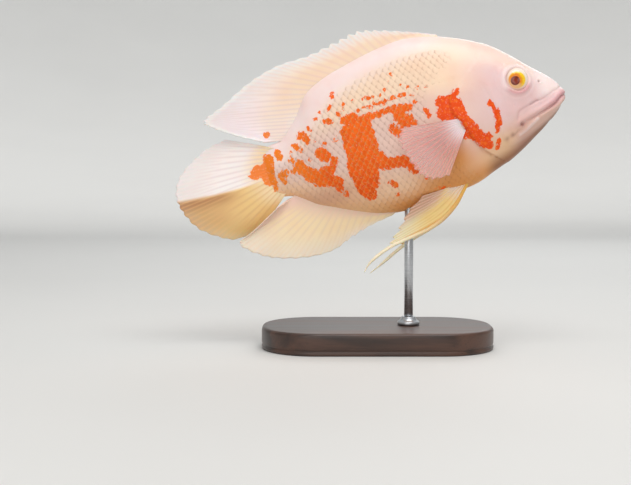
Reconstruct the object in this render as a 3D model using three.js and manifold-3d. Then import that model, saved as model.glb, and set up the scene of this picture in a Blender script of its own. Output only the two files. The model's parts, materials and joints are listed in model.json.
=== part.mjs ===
// A life-size museum model of an oscar, a South American cichlid kept in aquariums: the white and
// orange albino form, swimming with its nose raised, on one steel rod over a wooden plinth.
//
// The fish is drawn in its own frame, in millimetres: +X towards the snout, +Z towards the back,
// +Y towards its left side, with the origin at the middle of the tail root. One group then pitches
// it nose up and lifts it over the plinth, whose underside is the model's own origin.

import * as THREE from "three";
import { mergeVertices } from "three/addons/utils/BufferGeometryUtils.js";
import Module from "manifold-3d";

const wasm = await Module();
wasm.setup();

// Driving dimensions of the whole model
const PITCH_DEG = 14;
const FISH_X = -84;
const FISH_HEIGHT = 132;
const PART_GAP = 0.3;

// Body sections from the tail root to the snout. Each row is the point on the back, the point on
// the belly, the half width, and how high up the section its widest point is, from 0 to 1.
const SECTIONS = [
  { back: [2, 11.4], belly: [2, -23.6], half: 1.5, wide: 0.5 },
  { back: [9, 13.2], belly: [9, -25.6], half: 4.3, wide: 0.5 },
  { back: [16.5, 14.6], belly: [16, -27], half: 6.2, wide: 0.5 },
  { back: [25.3, 21.9], belly: [24, -32], half: 7.8, wide: 0.5 },
  { back: [33, 30], belly: [33, -38.2], half: 9.6, wide: 0.5 },
  { back: [43, 43.3], belly: [44, -43], half: 12, wide: 0.49 },
  { back: [57, 50.9], belly: [58, -49], half: 14.6, wide: 0.48 },
  { back: [75, 56.4], belly: [74, -54.6], half: 17.2, wide: 0.47 },
  { back: [96, 61.4], belly: [93, -57.2], half: 19.6, wide: 0.46 },
  { back: [118, 64.4], belly: [115, -55.8], half: 21.4, wide: 0.45 },
  { back: [137, 62], belly: [134, -53], half: 22.6, wide: 0.45 },
  { back: [154, 56.8], belly: [150, -50], half: 23, wide: 0.46 },
  { back: [168, 51], belly: [163, -44.8], half: 22.2, wide: 0.47 },
  { back: [180.6, 43.7], belly: [175, -40], half: 20.4, wide: 0.48 },
  { back: [192.6, 33.8], belly: [187, -33.6], half: 18, wide: 0.5 },
  { back: [203.6, 23.4], belly: [198, -26.8], half: 15.2, wide: 0.5 },
  { back: [212.8, 15.4], belly: [208, -20.4], half: 12.6, wide: 0.48 },
  { back: [219.4, 8.6], belly: [215.8, -14.4], half: 10, wide: 0.46 },
  { back: [223.2, 2.8], belly: [221, -8.6], half: 7, wide: 0.46 },
  { back: [224.2, -0.6], belly: [223.6, -4.4], half: 3.2, wide: 0.5 },
];
const SNOUT_TIP = [224.5, -2.6];
const STATIONS = 38;
const AROUND = 28;
const CORE_STATIONS = 26;
const CORE_AROUND = 20;

// How pointed a section is at its top and bottom: 0.5 is an ellipse, more is sharper
const TRUNK_POINT = 0.66;
const HEAD_POINT = 0.5;
const BREAST_POINT = 0.52;

// Eyes: an upright disc that bulges out of the side of the head
const EYE = { x: 190.7, z: 15.1, radius: 9.4, depth: 6.4, proud: 3.2 };

// Side-view lines that part the body, each as points in the fish's frame
const GILL_EDGE = [
  [166, 74], [163, 56], [155.6, 34], [152.4, 22.2], [144.8, 18.8], [140.5, 12.5], [139.8, 5.7],
  [142.4, -0.5], [145.9, -5.4], [148.1, -11.8], [153.7, -23.6], [162.6, -32.5], [172, -41], [180, -54],
];
const CHEEK_EDGE = [
  [152.4, 22.2], [160, 21.9], [166.2, 16.6], [169.2, 5.7], [171.4, -3.1], [172, -11.8], [170.6, -19.7],
  [172.2, -28.6], [178.3, -36.7], [184, -46],
];
const JAW_EDGE = [[217, 26], [213.4, 10], [206, -1.6], [192, -8.4], [184.6, -17], [181, -44]];
const MOUTH_LINE = [[240, -2.8], [222.4, -3], [214.6, -7.4], [205.6, -10.6], [195.4, -13.6], [182.4, -19.6]];
const PEDUNCLE_X = 36;
const GILL_COVER_DEPTH = 3;

// Fin rays, front to back. Each row is a ray's root and its tip, as [x, z] for the fins on the
// middle line and as [x, y, z] for the paired ones, where y is the distance from the middle.
// A bowed ray also names the point it bows through.
const DORSAL_RAYS = [
  { root: [146, 58.6], tip: [144.4, 61.4] },
  { root: [132, 62.6], tip: [128, 67.2] },
  { root: [115, 63.8], tip: [107, 73.6] },
  { root: [100, 61.8], tip: [90, 77] },
  { root: [86, 58.6], tip: [72, 73.4] },
  { root: [72, 55.2], tip: [51, 68.8] },
  { root: [58, 50.8], tip: [27, 66.8] },
  { root: [47, 45.6], tip: [4.4, 59.7] },
  { root: [39.6, 38.6], tip: [-18, 48.4] },
  { root: [34, 30.6], tip: [-32.9, 41.2] },
  { root: [28.6, 24.6], tip: [-27, 34.4] },
  { root: [22.4, 18.6], tip: [-11, 24.6] },
  { root: [17, 14.2], tip: [6, 15.9] },
];
const ANAL_RAYS = [
  { root: [86, -56.4], tip: [83, -57.9] },
  { root: [74, -54.2], tip: [66, -61.4] },
  { root: [63, -50.6], tip: [51, -66.4] },
  { root: [53, -46.4], tip: [36, -72] },
  { root: [44.6, -42.8], tip: [18, -72.6] },
  { root: [37.4, -39.8], tip: [-2, -68.6] },
  { root: [30.6, -36.4], tip: [-17, -62] },
  { root: [25, -32.4], tip: [-29.1, -50.8] },
  { root: [20.6, -29.4], tip: [-17, -44.2] },
  { root: [17, -27], tip: [5, -31.6] },
];
const CAUDAL_RAYS = [
  { root: [8, 12.2], tip: [-21.4, 24.8] },
  { root: [7, 9.6], tip: [-36, 21.4] },
  { root: [5.6, 6], tip: [-49.6, 14.3] },
  { root: [4.6, 1.8], tip: [-60, 6] },
  { root: [4, -2.4], tip: [-65.2, -4] },
  { root: [3.8, -6], tip: [-64.8, -13] },
  { root: [4, -9.6], tip: [-62, -22.6] },
  { root: [4.6, -14], tip: [-55.6, -33.4] },
  { root: [5.6, -18.6], tip: [-43.6, -42.4] },
  { root: [7, -22], tip: [-31.4, -47.4] },
  { root: [10.5, -25.4], tip: [-12.4, -44.8] },
];

// Where the tail fin folds, as a share of the way across its rays, at their roots and at their tips
const FOLD = [0.63, 0.49];

const PECTORAL_RAYS = [
  { root: [144.6, 22.3, -1.6], tip: [101.6, 26, 1.4] },
  { root: [144.8, 22.2, -3.2], tip: [98.6, 28, -7.6] },
  { root: [145.2, 22, -4.8], tip: [102, 29.6, -20] },
  { root: [145.8, 21.8, -6.2], tip: [106, 30.4, -31] },
  { root: [146.6, 21.6, -7.6], tip: [114, 30.4, -38] },
  { root: [147.6, 21.4, -8.8], tip: [127, 29, -38.8] },
];

// The pelvic fins trail a thread. The left one hangs a little lower and wider than the right one.
const PELVIC_RIGHT = {
  rays: [
    { root: [140, 5.4, -48.6], mid: [119, 8.6, -67.2], tip: [80, 10.2, -77.4] },
    { root: [138.4, 5.6, -48], mid: [116, 8.8, -64], tip: [76, 10.6, -76] },
    { root: [136.8, 5.8, -47.6], mid: [113, 9, -60.4], tip: [82, 11.2, -70.2] },
    { root: [135, 6, -47.4], mid: [113, 9.2, -56.6], tip: [88.4, 11.6, -63.4] },
    { root: [133.4, 6.4, -47], mid: [115, 9.2, -52.2], tip: [95, 11.6, -56.6] },
    { root: [131.6, 7, -46.6], mid: [120, 9.4, -48], tip: [107, 11.4, -48.8] },
  ],
  thread: [
    [142, 4.6, -46], [139.6, 5.4, -49.4], [130, 7.2, -59.6], [118.6, 8.6, -67.6],
    [107, 9.6, -72.6], [96, 10, -75], [86.4, 10.2, -76.6], [76.8, 10.4, -78.6],
    [66.8, 10.2, -82.4], [58.4, 10, -87], [53.7, 9.6, -92],
  ],
};
const PELVIC_LEFT = {
  rays: [
    { root: [141, 5.4, -48.8], mid: [121, 11.4, -69.6], tip: [87, 15.4, -81.6] },
    { root: [139.2, 5.6, -48.4], mid: [119, 11.8, -67], tip: [83, 15.8, -79.4] },
    { root: [137.4, 5.8, -48], mid: [117, 12.2, -63.4], tip: [88, 16.6, -72.6] },
    { root: [135.6, 6, -47.6], mid: [117, 12.6, -59], tip: [94, 17.2, -65.6] },
    { root: [133.8, 6.4, -47.2], mid: [119, 12.4, -54.4], tip: [100, 17.2, -58.6] },
    { root: [131.8, 7, -46.8], mid: [122, 11.8, -50], tip: [110, 16, -51.4] },
  ],
  thread: [
    [143, 4.6, -46.2], [140.8, 5.6, -49.6], [131.6, 8.8, -61.4], [120, 11.8, -70.2],
    [108, 13.8, -75.2], [97, 15, -78.6], [86.6, 15.6, -82.6], [78, 15.8, -86.6],
    [68, 15.8, -91.8], [58.1, 15.8, -96.4],
  ],
};
const FIN_ROOT_DEPTH = 5;

// Stand: a rounded wooden plinth and one rod that runs up into the belly
const PLINTH = { length: 168, width: 92, height: 16, corner: 40, bevel: 2.4 };
const ROD = { x: 23, radius: 3.2, intoBody: 20, sides: 16 };
const COLLAR = { radius: 8, height: 6, lip: 1.2 };

// Maths helpers

// The value at share t of the way through equally spaced values, on a smooth Catmull-Rom curve.
function through(values, t) {
  const last = values.length - 1;
  const at = Math.min(Math.max(t, 0), 1) * last;
  const i = Math.min(Math.floor(at), last - 1);
  const f = at - i;
  const before = i > 0 ? values[i - 1] : 2 * values[0] - values[1];
  const after = i + 2 <= last ? values[i + 2] : 2 * values[last] - values[last - 1];
  const [a, b] = [values[i], values[i + 1]];
  const cubic = 3 * (a - b) + after - before;
  return a + 0.5 * f * (b - before + f * (2 * before - 5 * a + 4 * b - after + f * cubic));
}

// The same for points, one coordinate at a time.
function pointThrough(points, t) {
  return points[0].map((_, k) => through(points.map((p) => p[k]), t));
}

function smoothStep(x, low, high) {
  return THREE.MathUtils.smoothstep(x, low, high);
}

// Solids and geometries

function toSolid(geometry) {
  const bare = geometry.index ? geometry.toNonIndexed() : geometry.clone();
  bare.deleteAttribute("normal");
  bare.deleteAttribute("uv");
  const merged = mergeVertices(bare, 1e-3);
  return new wasm.Manifold(
    new wasm.Mesh({
      numProp: 3,
      vertProperties: merged.attributes.position.array,
      triVerts: new Uint32Array(merged.index.array),
    }),
  );
}

function toGeometry(solid) {
  const mesh = solid.getMesh();
  const places = new Float32Array(mesh.numVert * 3);
  for (let i = 0; i < mesh.numVert; i++) {
    const from = i * mesh.numProp;
    places.set(mesh.vertProperties.subarray(from, from + 3), i * 3);
  }
  const geometry = new THREE.BufferGeometry();
  geometry.setAttribute("position", new THREE.BufferAttribute(places, 3));
  geometry.setIndex(new THREE.BufferAttribute(mesh.triVerts, 1));
  geometry.computeVertexNormals();
  return geometry;
}

function geometryOf(points, triangles) {
  const geometry = new THREE.BufferGeometry();
  geometry.setAttribute("position", new THREE.Float32BufferAttribute(points.flat(), 3));
  geometry.setIndex(triangles.flat());
  return geometry;
}

// The largest piece of a solid: a cut may leave a loose sliver beside it.
function largest(solid) {
  return solid.decompose().sort((a, b) => b.volume() - a.volume())[0];
}

// A closed tube of rings: rings[i] is a loop of points, and each end is closed on its middle.
function skinOf(rings) {
  const count = rings[0].length;
  const points = rings.flat();
  const triangles = [];
  for (let i = 0; i + 1 < rings.length; i++) {
    for (let j = 0; j < count; j++) {
      const [a, b] = [i * count + j, i * count + ((j + 1) % count)];
      triangles.push([a, b, b + count], [a, b + count, a + count]);
    }
  }
  const middle = (ring) => ring[0].map((_, k) => ring.reduce((s, p) => s + p[k], 0) / count);
  const first = points.push(middle(rings[0])) - 1;
  const final = points.push(middle(rings[rings.length - 1])) - 1;
  const start = (rings.length - 1) * count;
  for (let j = 0; j < count; j++) {
    const next = (j + 1) % count;
    triangles.push([first, next, j], [final, start + j, start + next]);
  }
  return geometryOf(points, triangles);
}

// A solid of skinOf's rings, turned right side out whichever way they run.
function ringSolid(rings) {
  const solid = toSolid(skinOf(rings));
  return solid.volume() > 0 ? solid : toSolid(skinOf(rings.map((ring) => [...ring].reverse())));
}

// A straight-sided cutter through the whole fish, from a closed side-view outline.
function sideCutter(outline, halfDepth = 60) {
  const shape = new THREE.Shape(outline.map(([x, z]) => new THREE.Vector2(x, z)));
  const geometry = new THREE.ExtrudeGeometry(shape, { depth: 2 * halfDepth, bevelEnabled: false });
  geometry.rotateX(Math.PI / 2).translate(0, halfDepth, 0);
  return toSolid(geometry);
}

// A thin cutter that follows a side-view line and leaves a gap between what it parts.
function slit(line, gap = PART_GAP) {
  const steps = 2 * (line.length - 1);
  const centre = Array.from({ length: steps + 1 }, (_, i) => pointThrough(line, i / steps));
  const sides = [-gap / 2, gap / 2].map((offset) =>
    centre.map((p, i) => {
      const [a, b] = [centre[Math.max(i - 1, 0)], centre[Math.min(i + 1, steps)]];
      const length = Math.hypot(b[0] - a[0], b[1] - a[1]);
      return [p[0] - (offset * (b[1] - a[1])) / length, p[1] + (offset * (b[0] - a[0])) / length];
    }),
  );
  return sideCutter([...sides[0], ...sides[1].reverse()]);
}

// Points along a smooth side-view line, for an outline.
function along(line, steps = 2 * (line.length - 1)) {
  return Array.from({ length: steps + 1 }, (_, i) => pointThrough(line, i / steps));
}

// Body

const BACK = SECTIONS.map((s) => s.back);
const BELLY = SECTIONS.map((s) => s.belly);
const HALF = SECTIONS.map((s) => s.half);
const WIDE = SECTIONS.map((s) => s.wide);

// How far the skin stands out of the plain section: lips, the gill cover's hind edge and cheeks.
function relief(x, z) {
  const mouth = MOUTH_LINE.slice(1, -1);
  const nearest = Math.min(...along(mouth, 12).map(([mx, mz]) => Math.hypot(x - mx, z - mz)));
  const lips = 1.3 * Math.exp(-(((nearest - 2.6) / 2.4) ** 2));
  const cover = 1.2 * Math.exp(-(((x - 149.5) / 12) ** 2) - ((z + 4) / 17) ** 2);
  const brow = 0.9 * Math.exp(-(((Math.hypot(x - EYE.x, z - EYE.z) - 11) / 3) ** 2));
  return lips + cover + brow;
}

// One section of the body, as a loop of points from the belly up the right side and down the left.
function section(share, grow, around = AROUND) {
  const [backX, backZ] = pointThrough(BACK, share);
  const [bellyX, bellyZ] = pointThrough(BELLY, share);
  const half = through(HALF, share) + grow;
  const wide = through(WIDE, share);
  const headShare = smoothStep(share, 0.5, 0.8);
  const tall = Math.hypot(backX - bellyX, backZ - bellyZ);
  return Array.from({ length: around }, (_, j) => {
    const angle = -Math.PI / 2 + (2 * Math.PI * j) / around;
    const lift = Math.sin(angle);
    const end = lift > 0 ? 1 - wide : wide;
    const up = wide + lift * (end + grow / tall);
    const soft = lift > 0 ? HEAD_POINT : BREAST_POINT;
    const point = THREE.MathUtils.lerp(TRUNK_POINT, soft, headShare);
    const side = Math.max(1 - Math.abs(lift) ** 2.2, 0) ** point;
    const x = bellyX + up * (backX - bellyX);
    const z = bellyZ + up * (backZ - bellyZ);
    const flank = smoothStep(side, 0.1, 0.7);
    const out = half * side + relief(x, z) * flank;
    return [x, -Math.sign(Math.cos(angle)) * out, z];
  });
}

function bodySolid(grow = 0, stations = STATIONS, around = AROUND) {
  const rings = [];
  for (let i = 0; i <= stations; i++) rings.push(section(i / stations, grow, around));
  const tip = [SNOUT_TIP[0] + grow, 0, SNOUT_TIP[1]];
  const nose = rings[stations].map((p) => p.map((v, k) => 0.35 * v + 0.65 * tip[k]));
  return ringSolid([...rings, nose]);
}

// Half the body's width at a point of the side view.
function flankAt(x, z) {
  let best = { miss: Infinity, y: 0 };
  for (let i = 0; i <= 120; i++) {
    for (const p of section(i / 120, 0)) {
      const miss = Math.hypot(p[0] - x, p[2] - z);
      if (miss < best.miss) best = { miss, y: Math.abs(p[1]) };
    }
  }
  return best.y;
}

// Fins

// A fin's blade as a closed plate, worked out from its rows of rays. The first row of the blade is
// buried in the body. bend(u, v) moves it sideways, u along the ray and v across the rays.
function blade({ rays, across, steps, thick, bend = () => 0, side = 1 }) {
  const flat = (p) => (p.length === 2 ? [p[0], 0, p[1]] : [p[0], side * p[1], p[2]]);
  const rows = rays.map(({ root, mid, tip }) => (mid ? [root, mid, tip] : [root, tip]).map(flat));
  const grid = [];
  for (let j = 0; j <= across; j++) {
    const v = j / across;
    const ray = rows[0].map((_, k) => pointThrough(rows.map((row) => row[k]), v));
    const way = ray[0].map((r, k) => ray[1][k] - r);
    const buried = ray[0].map((r, k) => r - (FIN_ROOT_DEPTH * way[k]) / Math.hypot(...way));
    const line = [buried];
    for (let i = 0; i <= steps; i++) {
      const place = pointThrough(ray, i / steps);
      place[1] += bend(i / steps, v);
      line.push(place);
    }
    grid.push(line);
  }
  const normal = (j, i) => {
    const at = (a, b) => grid[Math.min(Math.max(a, 0), across)][Math.min(Math.max(b, 0), steps + 1)];
    const one = new THREE.Vector3(...at(j + 1, i)).sub(new THREE.Vector3(...at(j - 1, i)));
    const two = new THREE.Vector3(...at(j, i + 1)).sub(new THREE.Vector3(...at(j, i - 1)));
    return one.cross(two).normalize();
  };
  const rings = grid.map((row, j) => {
    const offset = (sign) =>
      row.map((p, i) => {
        const half = 0.5 * THREE.MathUtils.lerp(thick[0], thick[1], Math.sqrt(i / (steps + 1)));
        const n = normal(j, i).multiplyScalar(sign * half);
        return [p[0] + n.x, p[1] + n.y, p[2] + n.z];
      });
    return [...offset(1), ...offset(-1).reverse()];
  });
  return plateSolid(rings);
}

// A closed plate from rings that each run out along one face and back along the other.
function plateSolid(rings) {
  const count = rings[0].length;
  const points = rings.flat();
  const triangles = [];
  for (let i = 0; i + 1 < rings.length; i++) {
    for (let j = 0; j < count; j++) {
      const [a, b] = [i * count + j, i * count + ((j + 1) % count)];
      triangles.push([a, b, b + count], [a, b + count, a + count]);
    }
  }
  for (const [ring, flip] of [[0, true], [rings.length - 1, false]]) {
    for (let j = 0; j + 1 < count / 2; j++) {
      const quad = [j, j + 1, count - 2 - j, count - 1 - j].map((k) => ring * count + k);
      const [a, b, c, d] = flip ? [...quad].reverse() : quad;
      triangles.push([a, b, c], [a, c, d]);
    }
  }
  const solid = toSolid(geometryOf(points, triangles));
  if (solid.volume() > 0) return solid;
  return toSolid(geometryOf(points, triangles.map(([a, b, c]) => [a, c, b])));
}

// A tapering round thread along points.
function thread(points, rootRadius, tipRadius, steps = 18, sides = 5) {
  const centre = Array.from({ length: steps + 1 }, (_, i) => pointThrough(points, i / steps));
  const up = new THREE.Vector3(0, 1, 0);
  const rings = centre.map((p, i) => {
    const [a, b] = [centre[Math.max(i - 1, 0)], centre[Math.min(i + 1, steps)]];
    const way = new THREE.Vector3(...b).sub(new THREE.Vector3(...a)).normalize();
    const one = new THREE.Vector3().crossVectors(way, up).normalize();
    const two = new THREE.Vector3().crossVectors(way, one);
    const radius = THREE.MathUtils.lerp(rootRadius, tipRadius, i / steps);
    return Array.from({ length: sides }, (_, j) => {
      const angle = (2 * Math.PI * j) / sides;
      const off = one.clone().multiplyScalar(radius * Math.cos(angle));
      off.addScaledVector(two, radius * Math.sin(angle));
      return [p[0] + off.x, p[1] + off.y, p[2] + off.z];
    });
  });
  return ringSolid(rings);
}

function pelvicFin({ rays, thread: line }, side, clear) {
  const membrane = blade({ rays, across: 8, steps: 5, thick: [2, 0.9], side });
  const edge = thread(line.map(([x, y, z]) => [x, side * y, z]), 1.5, 0.45);
  return largest(membrane.add(edge).subtract(clear));
}

// Materials, one for each finish
function finish(color, roughness, metalness = 0) {
  return new THREE.MeshStandardMaterial({ color, roughness, metalness });
}
const SKIN = finish("#f3dcd3", 0.45);
const FIN = finish("#f4e3cf", 0.5);
const LIP = finish("#e6c3c4", 0.5);
const EYEBALL = finish("#f0b02a", 0.15);
const WOOD = finish("#3b2a20", 0.55);
const STEEL = finish("#b9bcc0", 0.3, 1);

// Assembly

const model = new THREE.Group();
const fish = new THREE.Group();
fish.position.set(FISH_X, 0, FISH_HEIGHT);
fish.rotation.y = -THREE.MathUtils.degToRad(PITCH_DEG);
fish.updateMatrix();
model.add(fish);

function place(group, name, solid, material) {
  const mesh = new THREE.Mesh(toGeometry(solid), material);
  mesh.name = name;
  group.add(mesh);
}

// Whole body, less the eye sockets and the bore for the rod
const eyeY = flankAt(EYE.x, EYE.z) + EYE.proud - EYE.depth;
function eyeSolid(side, grow = 0) {
  const ball = new THREE.SphereGeometry(1, 16, 8).rotateX(Math.PI / 2);
  ball.scale(EYE.radius + grow, EYE.depth + grow, EYE.radius + grow);
  return toSolid(ball.translate(EYE.x, side * eyeY, EYE.z));
}

function rodGeometry(grow) {
  const low = PLINTH.height + PART_GAP - grow;
  const top = worldBellyAt(ROD.x) + ROD.intoBody + grow;
  const radius = ROD.radius + grow;
  const bar = new THREE.CylinderGeometry(radius, radius, top - low, ROD.sides);
  return bar.rotateX(Math.PI / 2).translate(ROD.x, 0, (low + top) / 2);
}

// The height of the belly's middle line over a point of the plinth.
function worldBellyAt(worldX) {
  const places = Array.from({ length: 201 }, (_, i) => {
    const [x, z] = pointThrough(BELLY, i / 200);
    return new THREE.Vector3(x, 0, z).applyMatrix4(fish.matrix);
  });
  return places.sort((a, b) => Math.abs(a.x - worldX) - Math.abs(b.x - worldX))[0].z;
}

const toFish = fish.matrix.clone().invert();
const bore = toSolid(rodGeometry(PART_GAP).applyMatrix4(toFish));
const whole = bodySolid()
  .subtract(eyeSolid(-1, PART_GAP))
  .subtract(eyeSolid(1, PART_GAP))
  .subtract(bore);

// Regions of the side view, each a closed outline, that the body is parted into
const gillLine = along(GILL_EDGE);
const cheekLine = along(CHEEK_EDGE);
const jawLine = along(JAW_EDGE);
const behindGill = sideCutter([...gillLine, [-40, -90], [-40, 110]]);
const aheadOfJaw = sideCutter([...jawLine, [183, -90], [260, -90], [260, 60]]);
const stemBox = sideCutter([[-40, -90], [PEDUNCLE_X, -90], [PEDUNCLE_X, 110], [-40, 110]]);
const seams = slit(GILL_EDGE).add(slit(JAW_EDGE));

const trunkAll = whole.intersect(behindGill).subtract(slit(GILL_EDGE));
const stemSlit = slit([[PEDUNCLE_X, -90], [PEDUNCLE_X, 10], [PEDUNCLE_X, 110]]);
const stem = largest(trunkAll.intersect(stemBox).subtract(stemSlit));
const trunk = largest(trunkAll.subtract(stemBox).subtract(stemSlit));
const front = whole.subtract(behindGill).subtract(seams);
const jaws = front.intersect(aheadOfJaw).subtract(slit(MOUTH_LINE));
const underMouth = sideCutter([...along(MOUTH_LINE), [180, -90], [260, -90]]);
const upperJaw = largest(jaws.subtract(underMouth));
const lowerJaw = largest(jaws.intersect(underMouth));

// Gill covers: plates over each side of the head, from the cheek to the gill slit
const coverOutline = [...cheekLine, [190, -58], ...gillLine.slice(7).reverse()];
const coverPrism = sideCutter(coverOutline);
const core = bodySolid(-GILL_COVER_DEPTH, CORE_STATIONS, CORE_AROUND);
const inner = bodySolid(-GILL_COVER_DEPTH - PART_GAP, CORE_STATIONS, CORE_AROUND);
const rightHalf = toSolid(new THREE.BoxGeometry(400, 60, 300).translate(100, -36, 0));
const leftHalf = toSolid(new THREE.BoxGeometry(400, 60, 300).translate(100, 36, 0));
const skull = front.subtract(aheadOfJaw);
const covers = skull.intersect(coverPrism).subtract(core).subtract(slit(CHEEK_EDGE));
const head = largest(skull.subtract(coverPrism.subtract(inner)));

place(fish, "head", head, SKIN);
place(fish, "trunk", trunk, SKIN);
place(fish, "tail_stem", stem, SKIN);
place(fish, "upper_jaw", upperJaw, LIP);
place(fish, "lower_jaw", lowerJaw, LIP);
place(fish, "gill_cover_right", largest(covers.intersect(rightHalf)), SKIN);
place(fish, "gill_cover_left", largest(covers.intersect(leftHalf)), SKIN);
place(fish, "eye_right", eyeSolid(-1), EYEBALL);
place(fish, "eye_left", eyeSolid(1), EYEBALL);

// Fins are cut back to a little outside the body
const clear = bodySolid(PART_GAP);
const median = { thick: [3.6, 0.9] };
const dorsal = blade({
  ...median,
  rays: DORSAL_RAYS,
  across: 22,
  steps: 3,
  bend: (u, v) => -3.4 * u * u * smoothStep(v, 0.45, 0.85),
});
const anal = blade({
  ...median,
  rays: ANAL_RAYS,
  across: 14,
  steps: 3,
  bend: (u, v) => -8 * u ** 1.4 * smoothStep(v, 0.25, 0.8),
});

// The tail fin is folded along its middle, with the fold towards the right side
const caudal = blade({
  ...median,
  rays: CAUDAL_RAYS,
  across: 18,
  steps: 4,
  bend: (u, v) => {
    const under = v - THREE.MathUtils.lerp(FOLD[0], FOLD[1], u);
    return u * (-8 + 22 * Math.abs(under) + 10 * Math.max(under, 0));
  },
});
place(fish, "dorsal_fin", largest(dorsal.subtract(clear)), FIN);
place(fish, "anal_fin", largest(anal.subtract(clear)), FIN);
place(fish, "caudal_fin", largest(caudal.subtract(clear)), FIN);
for (const [name, side] of [["right", -1], ["left", 1]]) {
  const pectoral = blade({ rays: PECTORAL_RAYS, across: 10, steps: 4, thick: [2.2, 0.8], side });
  place(fish, "pectoral_fin_" + name, largest(pectoral.subtract(clear)), FIN);
}
place(fish, "pelvic_fin_right", pelvicFin(PELVIC_RIGHT, -1, clear), FIN);
place(fish, "pelvic_fin_left", pelvicFin(PELVIC_LEFT, 1, clear), FIN);

// Stand

function plinthGeometry() {
  const { length, width, height, corner, bevel } = PLINTH;
  const [x, y] = [length / 2 - bevel, width / 2 - bevel];
  const r = corner - bevel;
  const outline = new THREE.Shape();
  outline.moveTo(-x + r, -y);
  outline.lineTo(x - r, -y);
  outline.absarc(x - r, -y + r, r, -Math.PI / 2, 0);
  outline.lineTo(x, y - r);
  outline.absarc(x - r, y - r, r, 0, Math.PI / 2);
  outline.lineTo(-x + r, y);
  outline.absarc(-x + r, y - r, r, Math.PI / 2, Math.PI);
  outline.lineTo(-x, -y + r);
  outline.absarc(-x + r, -y + r, r, Math.PI, 1.5 * Math.PI);
  const slab = new THREE.ExtrudeGeometry(outline, {
    depth: height - 2 * bevel,
    bevelThickness: bevel,
    bevelSize: bevel,
    bevelSegments: 1,
    curveSegments: 6,
  });
  return slab.translate(0, 0, bevel);
}

function collarGeometry() {
  const { radius, height, lip } = COLLAR;
  const hole = ROD.radius + PART_GAP;
  const profile = [
    [hole, 0], [radius, 0], [radius, height - lip], [radius - lip, height], [hole, height], [hole, 0],
  ].map(([r, z]) => new THREE.Vector2(r, z));
  const ring = new THREE.LatheGeometry(profile, 16).rotateX(Math.PI / 2);
  return ring.translate(ROD.x, 0, PLINTH.height + PART_GAP);
}

place(model, "stand_base", toSolid(plinthGeometry()), WOOD);
place(model, "stand_rod", toSolid(rodGeometry(0)), STEEL);
place(model, "stand_collar", toSolid(collarGeometry()), STEEL);

export default model;
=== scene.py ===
# %% [markdown]
# # An oscar on its museum stand
# The model is a deep-bodied white cichlid with orange scale patches, held nose up on one steel rod.
# The frame that is loaded first gives every sub-part its place and size. Each later cell makes one
# piece of the fish as a numpy surface, gives it a procedural finish and lets it ride on the frame.

# %% Load the frame
import json
import math

import bpy
import numpy as np
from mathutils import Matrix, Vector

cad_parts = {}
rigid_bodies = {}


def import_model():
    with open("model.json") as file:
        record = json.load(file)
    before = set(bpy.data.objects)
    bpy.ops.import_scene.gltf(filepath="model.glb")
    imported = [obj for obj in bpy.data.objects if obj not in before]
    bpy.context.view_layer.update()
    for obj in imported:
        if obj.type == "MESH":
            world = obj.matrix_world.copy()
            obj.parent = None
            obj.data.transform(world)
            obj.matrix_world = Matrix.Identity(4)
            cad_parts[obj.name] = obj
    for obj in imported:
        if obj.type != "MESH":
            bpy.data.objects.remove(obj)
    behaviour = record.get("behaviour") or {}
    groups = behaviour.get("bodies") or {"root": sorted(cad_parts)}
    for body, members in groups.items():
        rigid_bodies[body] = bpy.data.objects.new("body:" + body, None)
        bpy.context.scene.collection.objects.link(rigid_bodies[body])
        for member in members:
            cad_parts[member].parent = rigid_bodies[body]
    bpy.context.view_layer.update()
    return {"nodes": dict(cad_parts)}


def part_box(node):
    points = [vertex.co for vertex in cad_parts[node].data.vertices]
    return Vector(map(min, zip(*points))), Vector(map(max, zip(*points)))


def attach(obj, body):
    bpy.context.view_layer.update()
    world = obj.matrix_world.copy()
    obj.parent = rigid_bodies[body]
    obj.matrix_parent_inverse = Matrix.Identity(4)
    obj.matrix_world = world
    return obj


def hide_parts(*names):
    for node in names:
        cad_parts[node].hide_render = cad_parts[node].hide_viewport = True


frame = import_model()
print("nodes in the frame:", sorted(frame["nodes"]))

# %% [markdown]
# ## The fish's own axes
# The fish swims nose up, so its outline is easier to write along its own body: x runs to the snout
# and z to the back, in millimetres, from the middle of the tail root. One turn and one shift put
# those points into the frame. Doing this to arrays keeps every object at the origin, unturned.

# %% From fish millimetres to frame metres
MM = 0.001
PITCH = math.radians(14)
FISH_X = -84
FISH_HEIGHT = 132


def to_frame(points):
    """x and z are turned by the pitch about y, then shifted over the plinth, then made metres."""
    x, y, z = np.moveaxis(np.asarray(points, float), -1, 0)
    across = x * math.cos(PITCH) - z * math.sin(PITCH) + FISH_X
    up = x * math.sin(PITCH) + z * math.cos(PITCH) + FISH_HEIGHT
    return np.stack([across, y, up], axis=-1) * MM


print("tail root in the frame:", to_frame([0, 0, 0]))

# %% [markdown]
# ## Camera
# The picture looks at the fish from its right side, nearly level and a little from above. The camera
# is tilted down by four degrees, which shows the stand's top and keeps its sides nearly upright.

# %% Camera
CAMERA_PLACE = (-0.0450, -0.8549, 0.1361)
CAMERA_TILT = math.radians(4)
CAMERA_LENS = 67.15

camera_data = bpy.data.cameras.new("camera")
camera_data.lens = CAMERA_LENS
camera_data.sensor_width = 36
camera = bpy.data.objects.new("camera", camera_data)
camera.location = CAMERA_PLACE
camera.rotation_euler = (math.pi / 2 - CAMERA_TILT, 0, 0)
bpy.context.collection.objects.link(camera)
bpy.context.scene.camera = camera
print("camera at", CAMERA_PLACE, "with a lens of", CAMERA_LENS, "mm")

# %% [markdown]
# ## Small maths helpers
# Outlines are drawn through a few points with a smooth cubic curve, which passes through each of
# them, so a point can be read off the real outline and used as it is. Distances to such a line give
# grooves, edges and markings their place. All of these take whole arrays.


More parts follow.
